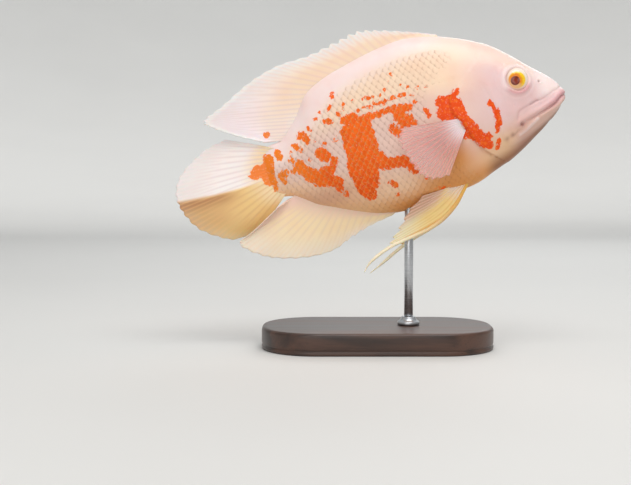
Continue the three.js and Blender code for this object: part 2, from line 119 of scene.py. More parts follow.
# %% Curves and distances
def through(values, t):
    """A cubic between each pair of values, whose slope at a value comes from its two neighbours."""
    values = np.asarray(values, float)
    first = 2 * values[:1] - values[1:2]
    final = 2 * values[-1:] - values[-2:-1]
    padded = np.concatenate([first, values, final])
    at = np.clip(t, 0, 1) * (len(values) - 1)
    i = np.minimum(at.astype(int), len(values) - 2)
    f = (at - i).reshape(at.shape + (1,) * (values.ndim - 1))
    before, a, b, after = padded[i], padded[i + 1], padded[i + 2], padded[i + 3]
    cubic = 3 * (a - b) + after - before
    return a + 0.5 * f * (b - before + f * (2 * before - 5 * a + 4 * b - after + f * cubic))


def to_line(x, z, line):
    """Distance in side view to a line of points, and which side: more than 0 on its left."""
    line = np.asarray(line, float)
    best = np.full(np.shape(x), 1e9)
    sign = np.ones(np.shape(x))
    for (x0, z0), (x1, z1) in zip(line[:-1], line[1:]):
        run, rise = x1 - x0, z1 - z0
        t = np.clip(((x - x0) * run + (z - z0) * rise) / (run**2 + rise**2), 0, 1)
        away = np.hypot(x - x0 - t * run, z - z0 - t * rise)
        nearer = away < best
        best = np.where(nearer, away, best)
        sign = np.where(nearer, np.sign(run * (z - z0) - rise * (x - x0)), sign)
    return best, sign


print("halfway through 0, 1, 4:", through([0.0, 1.0, 4.0], np.array([0.5])))

# %% [markdown]
# Soft steps, bells and blends shape all relief and colour. A hard step would show as a jagged edge on
# the grid, and a soft one spans a few of its points.


# %% Steps, bells, blends and colours
def smooth(x, low, high):
    """0 below low, 1 above high, and 3t squared less 2t cubed between."""
    t = np.clip((x - low) / (high - low), 0, 1)
    return t * t * (3 - 2 * t)


def bump(distance, width):
    """A bell curve: 1 at distance 0 and falling off over width."""
    return np.exp(-((distance / width) ** 2))


def mix(a, b, share):
    """a at share 0, b at share 1, and straight between."""
    return a + (b - a) * np.asarray(share)


def mix3(a, b, share):
    """The same for points and colours, whose three numbers lie on the last axis."""
    return a + (b - a) * np.asarray(share)[..., None]


def linear(code):
    """A web colour as linear red, green and blue, by the sRGB curve."""
    srgb = np.array([int(code[k : k + 2], 16) for k in (1, 3, 5)]) / 255
    return np.where(srgb <= 0.04045, srgb / 12.92, ((srgb + 0.055) / 1.055) ** 2.4)


print("a soft step from 0 to 1 at a quarter:", smooth(0.25, 0, 1))

# %% [markdown]
# ## Meshes from arrays
# A surface is a grid of points. Its faces join each point to its neighbours, and a face's corners
# carry a flat map, so that a colour laid on that map lies evenly over the real surface.


# %% Mesh helpers
def grid_faces(rows, columns, wraps=False):
    """Each grid cell is one face: its four corners, counted row by row."""
    i, j = np.meshgrid(np.arange(rows - 1), np.arange(columns if wraps else columns - 1), indexing="ij")
    k = (j + 1) % columns
    corners = [i * columns + j, i * columns + k, (i + 1) * columns + k, (i + 1) * columns + j]
    return np.stack([c.ravel() for c in corners], axis=1)


def grid_map(rows, columns, wraps=False):
    """A cell's corners on the flat map: row and column, each as a share of the whole."""
    across = columns if wraps else columns - 1
    i, j = np.meshgrid(np.arange(rows - 1), np.arange(across), indexing="ij")
    u = np.stack([i, i, i + 1, i + 1], axis=-1) / (rows - 1)
    v = np.stack([j, j + 1, j + 1, j], axis=-1) / across
    return np.stack([u, v], axis=-1).reshape(-1, 4, 2)


def border_of(rows, columns):
    """The points on a grid's border, in order once round."""
    index = np.arange(rows * columns).reshape(rows, columns)
    return np.concatenate([index[0], index[1:, -1], index[-1, -2::-1], index[-2:0:-1, 0]])


def closed_faces(rows, sides):
    """A wrapped grid's faces and a fan at each end, whose poles are the two points after the grid's."""
    k = np.arange(sides)
    after = np.roll(k, -1)
    final = (rows - 1) * sides
    first_fan = np.stack([np.full(sides, rows * sides), after, k], axis=1)
    final_fan = np.stack([np.full(sides, rows * sides + 1), final + k, final + after], axis=1)
    return [grid_faces(rows, sides, wraps=True), first_fan, final_fan]


def turned_points(radius, height, sides, middle_x=0):
    """A profile of radius and height carried round an upright axis at middle_x."""
    angle = 2 * np.pi * np.arange(sides) / sides
    x = middle_x + radius[:, None] * np.cos(angle)
    y = radius[:, None] * np.sin(angle)
    return np.stack([x, y, height[:, None] + 0 * x], axis=-1)


print("a grid of 3 by 4 points has", len(grid_faces(3, 4)), "faces")

# %% [markdown]
# Every mesh is made from lists of points and faces in one go. Values such as a colour are stored on
# the points by name, where a material can read them later.


# %% One mesh from arrays
def add_mesh(name, points, faces, flat_map=None, values=None, turned=False, rounded=None):
    """A new object from points in metres and faces. values lie on the points, rounded on the faces."""
    faces = [list(face) for group in faces for face in group.tolist()]
    if turned:
        faces = [face[::-1] for face in faces]
    mesh = bpy.data.meshes.new(name)
    mesh.from_pydata(points.reshape(-1, 3).tolist(), [], faces)
    for key, value in (values or {}).items():
        kind, field = ("FLOAT_COLOR", "color") if np.ndim(value) == 2 else ("FLOAT", "value")
        if kind == "FLOAT_COLOR":
            value = np.concatenate([value, np.ones((len(value), 1))], axis=1)
        layer = mesh.attributes.new(key, kind, "POINT")
        layer.data.foreach_set(field, np.asarray(value, np.float32).ravel())
    if flat_map is not None:
        corners = np.concatenate([part[:, ::-1] if turned else part for part in flat_map], axis=None)
        mesh.uv_layers.new(name="OFBake").data.foreach_set("uv", corners.astype(np.float32))
    rounded = np.ones(len(faces), bool) if rounded is None else rounded
    mesh.polygons.foreach_set("use_smooth", rounded)
    mesh.validate()
    piece = bpy.data.objects.new(name, mesh)
    bpy.context.collection.objects.link(piece)
    print(name, "has", len(mesh.polygons), "faces")
    return piece


# %% [markdown]
# ## The body's shape
# A fish's body is a row of upright sections. Each one is given by the point on the back, the point on
# the belly, the half width and how high the widest point sits. A superellipse fills in the rest:
# trunk sections come to a keel at back and belly, head sections are rounder.

# %% Sections of the body
SECTIONS = [
    dict(back=(2, 11.4), belly=(2, -23.6), half=1.5, wide=0.5),
    dict(back=(9, 13.2), belly=(9, -25.6), half=4.3, wide=0.5),
    dict(back=(16.5, 14.6), belly=(16, -27), half=6.2, wide=0.5),
    dict(back=(25.3, 21.9), belly=(24, -32), half=7.8, wide=0.5),
    dict(back=(33, 30), belly=(33, -38.2), half=9.6, wide=0.5),
    dict(back=(43, 43.3), belly=(44, -43), half=12, wide=0.49),
    dict(back=(57, 50.9), belly=(58, -49), half=14.6, wide=0.48),
    dict(back=(75, 56.4), belly=(74, -54.6), half=17.2, wide=0.47),
    dict(back=(96, 61.4), belly=(93, -57.2), half=19.6, wide=0.46),
    dict(back=(118, 64.4), belly=(115, -55.8), half=21.4, wide=0.45),
    dict(back=(137, 62), belly=(134, -53), half=22.6, wide=0.45),
    dict(back=(154, 56.8), belly=(150, -50), half=23, wide=0.46),
    dict(back=(168, 51), belly=(163, -44.8), half=22.2, wide=0.47),
    dict(back=(180.6, 43.7), belly=(175, -40), half=20.4, wide=0.48),
    dict(back=(192.6, 33.8), belly=(187, -33.6), half=18, wide=0.5),
    dict(back=(203.6, 23.4), belly=(198, -26.8), half=15.2, wide=0.5),
    dict(back=(212.8, 15.4), belly=(208, -20.4), half=12.6, wide=0.48),
    dict(back=(219.4, 8.6), belly=(215.8, -14.4), half=10, wide=0.46),
    dict(back=(223.2, 2.8), belly=(221, -8.6), half=7, wide=0.46),
    dict(back=(224.2, -0.6), belly=(223.6, -4.4), half=3.2, wide=0.5),
]
SNOUT_TIP = np.array([224.5, 0, -2.6])
TRUNK_POINT = 0.66
HEAD_POINT = 0.5
BREAST_POINT = 0.52
MOUTH_LINE = [(240, -2.8), (222.4, -3), (214.6, -7.4), (205.6, -10.6), (195.4, -13.6), (187.6, -16.5)]
EYE_CENTRE = (190.7, 15.1)
print("sections:", len(SECTIONS), "from the tail root to the snout")

# %% [markdown]
# The grid's rows run from tail to snout, closer together on the head, and its columns run round the
# body from the belly. A few broad bells are added here, because they change the outline from above.

# %% Body grid
BODY_ROWS = 338
CAP_ROWS = 12
AROUND = 262


def plain_body(share, angle):
    """Superellipse: height follows the sine of the angle, and width a power of what is left."""
    back = through([s["back"] for s in SECTIONS], share)
    belly = through([s["belly"] for s in SECTIONS], share)
    half = through([s["half"] for s in SECTIONS], share)[:, None]
    wide = through([s["wide"] for s in SECTIONS], share)[:, None]
    lift = np.sin(angle)[None, :]
    up = wide + lift * np.where(lift > 0, 1 - wide, wide)
    headward = smooth(share, 0.5, 0.8)[:, None]
    power = mix(TRUNK_POINT, np.where(lift > 0, HEAD_POINT, BREAST_POINT), headward)
    side = np.maximum(1 - np.abs(lift) ** 2.2, 0) ** power
    place = mix3(belly[:, None, :], back[:, None, :], up)
    x, z = place[..., 0], place[..., 1]
    out = half * side + broad_relief(x, z) * smooth(side, 0.1, 0.7)
    return np.stack([x, -np.sign(np.cos(angle)) * out, z], axis=-1), up


def broad_relief(x, z):
    """Bells that raise the lips, the hind edge of the gill cover and the brow, in millimetres."""
    near_mouth, _ = to_line(x, z, MOUTH_LINE[1:])
    lips = 1.3 * bump(near_mouth - 2.6, 2.4)
    cover = 1.2 * bump(x - 149.5, 12) * bump(z + 4, 17)
    brow = 0.9 * bump(np.hypot(x - EYE_CENTRE[0], z - EYE_CENTRE[1]) - 11, 3)
    return lips + cover + brow


def snout_cap(ring):
    """Rings that shrink by a cosine while they move on to the tip by a sine, like a dome."""
    middle = ring.mean(axis=0)
    turn = np.linspace(0, np.pi / 2, CAP_ROWS + 1)[1:-1, None, None]
    return middle + (ring - middle) * np.cos(turn) + (SNOUT_TIP - middle) * np.sin(turn)


rows_share = 1 - (1 - np.linspace(0, 1, BODY_ROWS)) ** 1.3
around_angle = -np.pi / 2 + 2 * np.pi * (np.arange(AROUND) + 0.5) / AROUND
body, height_up = plain_body(rows_share, around_angle)
body = np.concatenate([body, snout_cap(body[-1])])
height_up = height_up[np.minimum(np.arange(len(body)), BODY_ROWS - 1)]
ROWS = len(body)
print("half width at the shoulder:", round(float(np.abs(body[..., 1]).max()), 1), "mm, rows:", ROWS)

# %% [markdown]
# ## Relief of the head
# The head is what people look at first, so it gets real relief and not only colour: the slit of
# the mouth, rolled lips, the fold behind the upper lip, the free edge of the gill cover, the groove
# in front of it, a nostril, and a socket for the eye. Each is a bell or a step along a side-view line.

# %% Grooves, folds and edges
GILL_EDGE = [
    (155.6, 34), (152.4, 22.2), (144.8, 18.8), (140.5, 12.5), (139.8, 5.7), (142.4, -0.5), (145.9, -5.4),
    (148.1, -11.8), (153.7, -23.6), (162.6, -32.5), (172, -39.6), (184, -45),
]
CHEEK_EDGE = [
    (160, 21.9), (166.2, 16.6), (169.2, 5.7), (171.4, -3.1), (172, -11.8), (170.6, -19.7), (173, -27),
]
UPPER_LIP = [(224, 4), (220, 2.6), (214.4, 0.9), (209.5, -1.1), (205.1, -2.5), (200.6, -3), (196.4, -4.1)]
MAXILLA_EDGE = [(202, -2.4), (196.4, -4.1), (190.3, -5.6), (186.4, -7.5), (184.6, -12)]
LOWER_LIP = [(222, -8.2), (214, -11.6), (206, -14), (199, -15.4), (192, -18.6)]
LIP_RIDGE = [(199, -15), (197.4, -15.9), (189.9, -20.4), (184.3, -22.9)]
CHIN_FOLD = [(210, -18.8), (200, -22.6), (190, -26.6), (180, -29.4), (172, -29.6)]
JAW_HINGE = [(186.8, -15.4), (184.6, -19.4), (180, -23.4), (174, -24)]
LATERAL_LINE = [(147, 26.6), (127, 26), (103, 22.6), (79, 16.4), (61, 9.8)]
CREST_LINE = [
    (8, 2), (17, 5), (24.4, 10.1), (31, 17.3), (38.2, 20.2), (42, 23), (51.5, 32), (67.4, 42), (90, 50),
    (118, 56), (140, 56), (156, 51), (170, 44), (184, 34.5), (196, 25.5), (206, 17), (215, 9.5),
]
NOSTRIL = (206.6, 10.4)
MOUTH_CORNER = (187.6, -16.5)
PORES = [(200, 22), (193, 28), (184, 28), (178, 22), (176, 12), (178, 3), (184, -2), (180, -14), (177, -22)]
SOCKET = 8.6
print("pores on each side of the head:", len(PORES))

# %% [markdown]
# Round features are bells round a point, and long ones are bells along a line. Their heights are
# fractions of a millimetre, because larger ones make a fish's head look carved.


# %% Relief from points and lines
def curve_of(line, steps=40):
    """A smooth line through a few points, as many more points."""
    return through(np.asarray(line, float), np.linspace(0, 1, steps))


def above_crest(x, z):
    """How far above the lower edge of the smooth white crest a point is, less than 0 below it."""
    away, side = to_line(x, z, curve_of(CREST_LINE, 60))
    return away * side


def dot_relief(x, z):
    """Round features: eye socket and its rim, nostril, the pit at the mouth's corner and pores."""
    eye = np.hypot(x - EYE_CENTRE[0], z - EYE_CENTRE[1])
    nostril = np.hypot(x - NOSTRIL[0], z - NOSTRIL[1])
    corner = np.hypot(x - MOUTH_CORNER[0], z - MOUTH_CORNER[1])
    total = -1.8 * (1 - smooth(eye, SOCKET - 1.8, SOCKET)) + 0.75 * bump(eye - 9.4, 1.2)
    total = total - 0.4 * bump(eye - 12, 0.9)
    total = total - 1.1 * bump(nostril, 0.8) + 0.25 * bump(nostril - 1.6, 0.6)
    total = total - 0.7 * bump(corner, 1.5)
    for pore_x, pore_z in PORES:
        total = total - 0.4 * bump(np.hypot(x - pore_x, z - pore_z), 0.55)
    return total


def line_relief(x, z):
    """Mouth slit between two rolled lips, with grooves and folds along the other lines."""
    mouth, above = to_line(x, z, curve_of(MOUTH_LINE))
    upper, _ = to_line(x, z, curve_of(UPPER_LIP))
    maxilla, _ = to_line(x, z, curve_of(MAXILLA_EDGE))
    lower, _ = to_line(x, z, curve_of(LOWER_LIP))
    ridge, ridge_side = to_line(x, z, curve_of(LIP_RIDGE, 20))
    chin, _ = to_line(x, z, curve_of(CHIN_FOLD))
    hinge, _ = to_line(x, z, curve_of(JAW_HINGE, 20))
    lateral, _ = to_line(x, z, curve_of(LATERAL_LINE))
    lips = np.where(above < 0, 0.55 * bump(mouth - 2.2, 1.5), 0.8 * bump(mouth - 2.4, 1.7))
    total = -0.5 * bump(mouth, 0.75) + lips * smooth(x, 192, 204)
    crease = 0.35 + 0.2 * smooth(x, 217, 221) + 0.15 * (1 - smooth(x, 205, 210))
    total = total - crease * bump(upper, 0.9) - 0.4 * bump(maxilla, 0.9) - 0.35 * bump(lower, 0.9)
    total = total + 0.75 * bump(ridge, 1.1) - np.where(ridge_side < 0, 0.5 * bump(ridge - 2, 0.8), 0)
    return total - 0.4 * bump(chin, 1.2) - 0.6 * bump(hinge, 1.0) - 0.14 * bump(lateral, 0.6)


print("relief in the slit of the mouth:", round(float(line_relief(214.6, -7.4)), 2), "mm")

# %% [markdown]
# The gill cover is a thin bony flap, so its hind edge is a step with a shadow behind it. In front of
# it the cheek's own plate ends in a shallow groove, with the jaw muscle swelling before that.


# %% Relief of the gill cover
def gill_relief(x, z):
    """The gill cover stands over the trunk as a step, and a groove runs in front of it."""
    gill, gill_side = to_line(x, z, curve_of(GILL_EDGE))
    cheek, cheek_side = to_line(x, z, curve_of(CHEEK_EDGE))
    step = np.where(gill_side > 0, 0.9 * np.exp(-gill / 7), -1.0 * np.exp(-gill / 1.6))
    step = step * smooth(z, -44, -30) * (1 - smooth(z, 14, 24))
    ends = smooth(z, -30, -20) * (1 - smooth(z, 12, 22))
    groove = -0.5 * bump(cheek, 1.0) + np.where(cheek_side > 0, 0.35 * bump(cheek - 2.4, 2), 0)
    cheek_muscle = 0.7 * bump(np.hypot((x - 182) / 9, (z + 6) / 10), 1)
    return step + groove * ends + cheek_muscle


def fine_relief(x, z):
    """All relief of the head together, in millimetres along the normal."""
    return dot_relief(x, z) + line_relief(x, z) + gill_relief(x, z)


print("relief at the nostril:", round(float(fine_relief(*np.array(NOSTRIL))), 2), "mm")

# %% [markdown]
# Relief moves each point along its normal. The normal comes from the grid itself, so it's ready
# before there is any mesh, and the scales can use it later too.


# %% Normals of a grid
def normals_of(grid, wraps=False):
    """Unit normals: the cross product of the two directions in which a grid runs."""
    wide = np.concatenate([grid[:, -1:], grid, grid[:, :1]], axis=1) if wraps else grid
    along = np.gradient(grid, axis=0)
    across = np.gradient(wide, axis=1)
    across = across[:, 1:-1] if wraps else across
    normal = np.cross(along, across)
    return normal / np.maximum(np.linalg.norm(normal, axis=-1, keepdims=True), 1e-9)


body_normal = normals_of(body, wraps=True)
outward = body_normal[..., 1] * body[..., 1] > 0
print("share of normals that point away from the middle:", round(float(outward.mean()), 3))
relief = fine_relief(body[..., 0], body[..., 2])
print("relief from", round(float(relief.min()), 2), "to", round(float(relief.max()), 2), "mm")

# %% [markdown]
# ## Markings
# The orange patches are groups of whole scales, so they are ragged at scale size and never smooth
# ovals. They are written in side view as strokes, each from a point to a point with a radius, and as
# freckles, each a point with a radius. A painted image would need a flat map and would stretch on it.

# %% Orange strokes and freckles
STROKES = [
    (65.5, 16.6, 71.4, 17.6, 3.6), (66.5, 7.7, 67.5, -9.9, 6.4), (77.2, 7.7, 78.2, -6.0, 6.6),
    (65.5, -15.8, 69.5, -33.6, 6.6), (75.3, -13.8, 73.4, -31.6, 6.6), (69.6, -35.6, 71.6, -39.6, 4.2),
    (72.4, 13.6, 79.2, 11.6, 4.4), (79.2, 15.2, 102.5, 16.5, 2.5), (84.0, -14.8, 85.0, -18.7, 4.6),
    (85.0, -19.7, 99.6, -20.7, 4.4), (99.6, -20.7, 106.2, -29.5, 3.6), (102.5, 15.1, 110.3, 14.9, 3.6),
    (104.4, 9.6, 107.3, 6.7, 5.4), (97.6, 3.8, 100.5, -1.1, 3.4), (102.5, 3.8, 113.7, 3.8, 2.3),
    (134.5, 12.5, 141.2, 12.5, 4.4), (134.4, 4.7, 139.3, 3.7, 5.2), (144.2, 14.5, 146.6, 18.0, 2.0),
    (144.5, 9.6, 146.0, 2.8, 4.0), (146.0, -1.1, 152.0, -10.9, 3.9), (150.0, -11.8, 158.1, -21.6, 4.6),
    (156.2, -21.6, 160.3, -24.2, 3.4), (143.2, -13.2, 150.1, -14.8, 2.5), (159.0, -18.7, 162.0, -18.3, 2.2),
    (122.6, 10.6, 124.2, 5.1, 1.7), (167.8, 4.3, 170.6, -3.1, 1.9), (170.6, -3.1, 170.8, -11.8, 2.3),
    (169.6, -12.2, 169.1, -15.8, 2.2), (168.2, -23.0, 166.3, -28.5, 1.5), (26.1, -6.0, 28.1, -10.9, 4.2),
    (32.1, -13.9, 39.0, -19.8, 5.2), (40.0, -20.8, 49.9, -23.8, 4.8), (49.9, -23.8, 50.9, -28.7, 3.6),
    (47.5, -16.8, 52.2, -8.0, 3.0), (42.9, -1.1, 46.9, -4.4, 4.2), (34.6, -3.4, 35.4, -5.0, 1.3),
    (26.5, 8.5, 28.7, 5.9, 1.9), (33.1, 14.4, 36.6, 9.8, 2.9), (39.6, 17.7, 40.6, 15.7, 1.5),
    (52.8, 19.6, 55.1, 18.6, 2.1), (54.7, 6.8, 55.7, 4.8, 1.8), (56.8, 27.5, 58.1, 29.1, 1.3),
    (61.6, 22.9, 62.6, 21.6, 1.8), (87.7, -33.9, 89.7, -36.9, 2.0), (54.4, -32.7, 54.8, -35.7, 1.3),
    (13.5, 6.3, 14.1, 2.6, 2.3), (11.8, -10.4, 16.2, -9.0, 2.8), (12.2, -13.0, 13.1, -14.9, 2.4),
    (21.1, -9.6, 25.1, -9.0, 1.8), (5.5, 3.0, 4.5, -5.0, 4.2), (1.1, -4.0, 3.1, -11.0, 5.0),
    (5.1, -13.0, 6.5, -16.0, 2.4), (-3.9, -2.0, -6.9, -5.6, 3.6), (43.0, -14.0, 47.0, -18.0, 3.0),
    (116.6, -51.4, 121.4, -49.7, 1.6), (117.0, -46.0, 128.0, -46.8, 0.8),
]
FRECKLES = [
    (105.0, 40.8, 1.0), (102.2, 35.8, 0.8), (104.2, 30.8, 1.0), (109.3, 31.8, 1.2), (114.9, 29.2, 1.1),
    (115.2, 22.3, 1.1), (116.7, 17.0, 1.7), (120.1, 26.7, 0.8), (126.9, 26.0, 1.0), (98.4, 30.5, 1.3),
    (93.5, 27.9, 1.0), (85.5, 28.4, 1.4), (88.4, 28.0, 1.3), (81.6, 28.4, 1.3), (74.4, 29.0, 1.0),
    (76.9, 21.5, 1.3), (80.8, 22.9, 1.1), (84.1, 22.2, 1.1), (89.0, 22.6, 1.7), (92.5, 22.4, 1.7),
    (96.0, 22.8, 1.6), (99.7, 23.2, 1.3), (103.6, 24.3, 1.7), (107.1, 24.5, 1.6), (110.4, 24.3, 1.3),
    (66.9, 24.5, 0.9), (61.1, 35.9, 1.6), (62.3, 38.1, 0.8), (46.3, 23.0, 1.1), (49.9, 26.6, 0.9),
    (47.9, 4.3, 1.5), (42.0, 7.4, 1.0), (31.1, 2.9, 1.0), (23.1, 4.9, 1.1), (31.1, 12.4, 0.9),
    (90.3, -43.5, 1.3), (113.0, -36.2, 1.3), (9.0, 20.4, 2.4), (6.0, -19.0, 1.5), (20.5, -1.0, 0.8),
    (68.5, 28.5, 0.7), (22.7, 0.5, 0.9),
]
print("strokes:", len(STROKES), "and freckles:", len(FRECKLES))

# %% [markdown]
# The signed distance to the nearest mark is one number for each point. The skin, the scales and the
# fins all read it, so that a patch runs on from one to the next.

# %% Distance to the markings
FRECKLE_GROWTH = 0.3
FAR_AWAY = -9.0


def patch_distance(x, z):
    """How far inside the nearest stroke or freckle a side-view point is, in millimetres."""
    inside = np.full(np.shape(x), FAR_AWAY)
    for x0, z0, x1, z1, radius in STROKES:
        away, _ = to_line(x, z, [(x0, z0), (x1, z1)])
        inside = np.maximum(inside, radius - away)
    for x0, z0, radius in FRECKLES:
        inside = np.maximum(inside, radius + FRECKLE_GROWTH - np.hypot(x - x0, z - z0))
    return inside


def patches(points):
    """The right side follows the strokes, and the left side the same strokes swayed by sines."""
    x, y, z = np.moveaxis(points, -1, 0)
    left = y > 0
    swayed_x = x + 5 * np.sin(z / 11 + 1) + 4 * np.sin(x / 23)
    swayed_z = z + 4 * np.sin(x / 15) - 2
    tail_or_head = smooth(np.abs(x - 90), 70, 85)
    x = np.where(left, mix(swayed_x, x, tail_or_head), x)
    z = np.where(left, mix(swayed_z, z, tail_or_head), z)
    return patch_distance(x, z)


body_patch = patches(body)
print("share of the body that is orange:", round(float((body_patch > 0).mean()), 3))

# %% [markdown]
# ## Ground colour
# Under the patches the fish runs from a near white crest through peach and rose to a tan belly, with
# an amber tint behind the pectoral fin that also holds the fin's painted shadow, and greyish rose lips.
# Painted shade darkens the keel, the tail belly and the underside of throat and chin. Height up the
# section and distance along the body are enough to place each of these, again with soft steps and bells.

# %% Colours of skin and patches
CREST_WHITE_AND_HIGHLIGHT = linear("#f6e1df")
PEACH = linear("#fcdcbf")
ROSE = linear("#edcabb")
BELLY = linear("#f6cba6")
KEEL_TAN_AND_SHADE = linear("#f2bf8e")
BREAST_ORANGE_AND_SHADE = linear("#e29a54")
FACE = linear("#eccbca")
SNOUT = linear("#fdebe8")
CHIN_SHADE = linear("#84553f")
CHIN_TAN = linear("#dbb4a7")
THROAT_SHADE = linear("#8a5128")
THROAT_TAN = linear("#e9c09a")
LIP_ROSE_AND_SHADE = linear("#cf8f94")
RECESS_SHADE = linear("#8a4f4c")
AMBER_AND_FIN_SHADOW = linear("#dd9146")
TAIL_BELLY_SHADE = linear("#d9a284")
EMBER = linear("#f86206")
EMBER_TAIL = linear("#f88420")
EMBER_DEEP = linear("#ef4e04")
print("crest in linear light:", CREST_WHITE_AND_HIGHLIGHT.round(2))

# %% [markdown]
# The head has the most colours close together. Each is laid over the ones before it with a soft mask,
# as a painter glazes a cast, from the broad areas to the smallest marks.


# %% Colours of the face
def face_colour(colour, x, z, up):
    """Pale snout, tan throat and chin with painted shade under them, lip rose round the mouth, painted shade
    in the slit, the grooves and small hollows, a painted highlight on the lip ridge, and painted light above
    the eye with painted shade below.
    """
    mouth, above = to_line(x, z, curve_of(MOUTH_LINE))
    upper, _ = to_line(x, z, curve_of(UPPER_LIP))
    maxilla, _ = to_line(x, z, curve_of(MAXILLA_EDGE))
    ridge, _ = to_line(x, z, curve_of(LIP_RIDGE, 20))
    colour = mix3(colour, SNOUT, 0.95 * smooth(x, 198, 212) * smooth(z, -4, 4))
    # Painted shade: throat and chin turn dark brown towards the underside's edge, over their own tan.
    edge = 1 - smooth(up, 0.02, 0.15)
    under = mix3(mix3(THROAT_TAN, THROAT_SHADE, edge), mix3(CHIN_TAN, CHIN_SHADE, edge), smooth(x, 172, 188))
    colour = mix3(colour, under, 0.9 * smooth(x, 152, 166) * (1 - smooth(up, 0.16, 0.34)))
    lips = np.where(above < 0, bump(mouth - 1.5, 3.6), bump(mouth, 1.6))
    colour = mix3(colour, LIP_ROSE_AND_SHADE, mix(0.25, 0.62, smooth(x, 200, 216)) * lips)
    # Painted shade in the mouth's slit.
    colour = mix3(colour, RECESS_SHADE, 0.26 * bump(mouth, 0.7) * smooth(x, 196, 216))
    # Painted shade in the grooves along the upper lip and the maxilla.
    colour = mix3(colour, LIP_ROSE_AND_SHADE * 0.6, 0.12 * bump(upper, 0.8) + 0.2 * bump(maxilla, 0.8))
    # Painted highlight along the lip ridge, where it catches the light.
    colour = mix3(colour, CREST_WHITE_AND_HIGHLIGHT, 0.6 * bump(ridge, 1.1))
    # Painted shade in the hollow at the mouth's corner, two hollows by the jaw hinge, and the nostril.
    shaded_pits = [(MOUTH_CORNER, 1.5, 0.6), ((179.1, -21.9), 1.6, 0.5), ((174.4, -24), 1.8, 0.4)]
    shaded_pits.append((NOSTRIL, 0.8, 0.6))
    for (pit_x, pit_z), width, share in shaded_pits:
        colour = mix3(colour, RECESS_SHADE, share * bump(np.hypot(x - pit_x, z - pit_z), width))
    eye = np.hypot(x - EYE_CENTRE[0], z - EYE_CENTRE[1])
    # Painted light on the rim above the eye, and painted shade in the rose ring below it.
    colour = mix3(colour, CREST_WHITE_AND_HIGHLIGHT, 0.65 * bump(eye - 9.6, 1.8) * smooth(z, 8, 14))
    return mix3(colour, LIP_ROSE_AND_SHADE, 0.75 * bump(eye - 9.2, 1.2) * (1 - smooth(z, 8, 12)))


face_sample = [np.array([value]) for value in (*NOSTRIL, 0.8)]
print("colour in the nostril:", face_colour(FACE[None], *face_sample).round(2))

# %% [markdown]
# The trunk is painted from the keel up, and the head is laid over it. The amber tint with the pectoral
# fin's painted shadow and the painted shade at the gill cover's edge come last, because they run over
# the border between head and trunk.


# %% Colours of the whole fish
def belly_colour(x, up):
    """Peach brown along the keel of the tail and deeper orange brown under the breast, partly painted shade.
    """
    # The keel band is the belly's own tan and orange, deepened as painted shade of the underside.
    keel = mix3(KEEL_TAN_AND_SHADE, BREAST_ORANGE_AND_SHADE, smooth(x, 62, 100))
    belly = mix3(BELLY, mix3(BREAST_ORANGE_AND_SHADE, BELLY, 0.7), smooth(x, 100, 122))
    return mix3(keel, belly, smooth(up, 0.03, 0.15))


def ground_colour(x, z, up):
    """Blends by height up the body, then adds head, painted shade on the tail belly, amber with the pectoral
    fin's painted shadow, and painted shade at the gill edge.
    """
    colour = mix3(belly_colour(x, up), ROSE, smooth(up, 0.12, mix(0.36, 0.3, smooth(x, 90, 120))))
    colour = mix3(colour, PEACH, smooth(up, 0.56, 0.72))
    crest = smooth(above_crest(x, z), -14, 3) * (1 - 0.5 * smooth(x, 124, 156))
    colour = mix3(colour, CREST_WHITE_AND_HIGHLIGHT, 0.92 * crest)
    # Painted shade: a dusky rose brown under the belly near the tail stem.
    tail_belly_shade = bump(np.hypot((x - 42) / 26, (z + 33) / 9), 1)
    colour = mix3(colour, TAIL_BELLY_SHADE, 0.8 * tail_belly_shade)
    face = smooth(x, 136, 178) * smooth(up, 0.2, 0.45) * (1 - 0.75 * smooth(up, 0.74, 0.92))
    colour = face_colour(mix3(colour, FACE, face), x, z, up)
    # Amber tint behind and below the pectoral fin, which also holds the fin's painted shadow on the breast.
    amber_and_fin_shadow = bump(np.hypot((x - 137) / 10, (z + 29) / 14), 1)
    amber_and_fin_shadow = amber_and_fin_shadow + 0.7 * bump(np.hypot((x - 122) / 16, (z + 43) / 7), 1)
    colour = mix3(colour, AMBER_AND_FIN_SHADOW, 0.95 * np.minimum(amber_and_fin_shadow, 1))
    gill, side = to_line(x, z, curve_of(GILL_EDGE))
    shade = np.where(side < 0, bump(gill, 1.4), bump(gill, 0.5))
    shade = shade * smooth(z, -40, -30) * (1 - smooth(z, 8, 20))
    return mix3(colour, colour * np.array([0.72, 0.5, 0.42]), 0.6 * shade)


def patch_colour(x, z):
    """Orange on the body, yellower on the tail root, and redder on the belly and the shoulder."""
    colour = mix3(EMBER_TAIL, EMBER, smooth(x, 12, 50))
    colour = mix3(colour, EMBER_DEEP, 0.6 * (1 - smooth(z, -34, -8)) * smooth(x, 20, 60))
    return mix3(colour, EMBER_DEEP, smooth(x, 118, 134))


body_ground = ground_colour(body[..., 0], body[..., 2], height_up)
body_ember = patch_colour(body[..., 0], body[..., 2])
print("mean ground colour:", body_ground.reshape(-1, 3).mean(0).round(2))

# %% [markdown]
# ## One skin
# Head, jaws, gill covers, trunk and tail stem are separate sub-parts in the frame, but skin runs over
# them without a seam. So the whole body is one closed surface: the grid above, sunk by the depth of
# the scales where they lie, and a rounded cap over the snout that ends in one pole.

# %% Skin
SCALE_DEPTH = 0.3
SCALE_EDGE = [(183, 62), (175, 46), (167, 34.5), (158, 27)] + GILL_EDGE[1:]
MAP_MARGIN = 0.01


def behind_edge(x, z):
    """Distance behind the line where scales begin, less than 0 on the head."""
    away, side = to_line(x, z, curve_of(SCALE_EDGE, 60))
    return -away * side


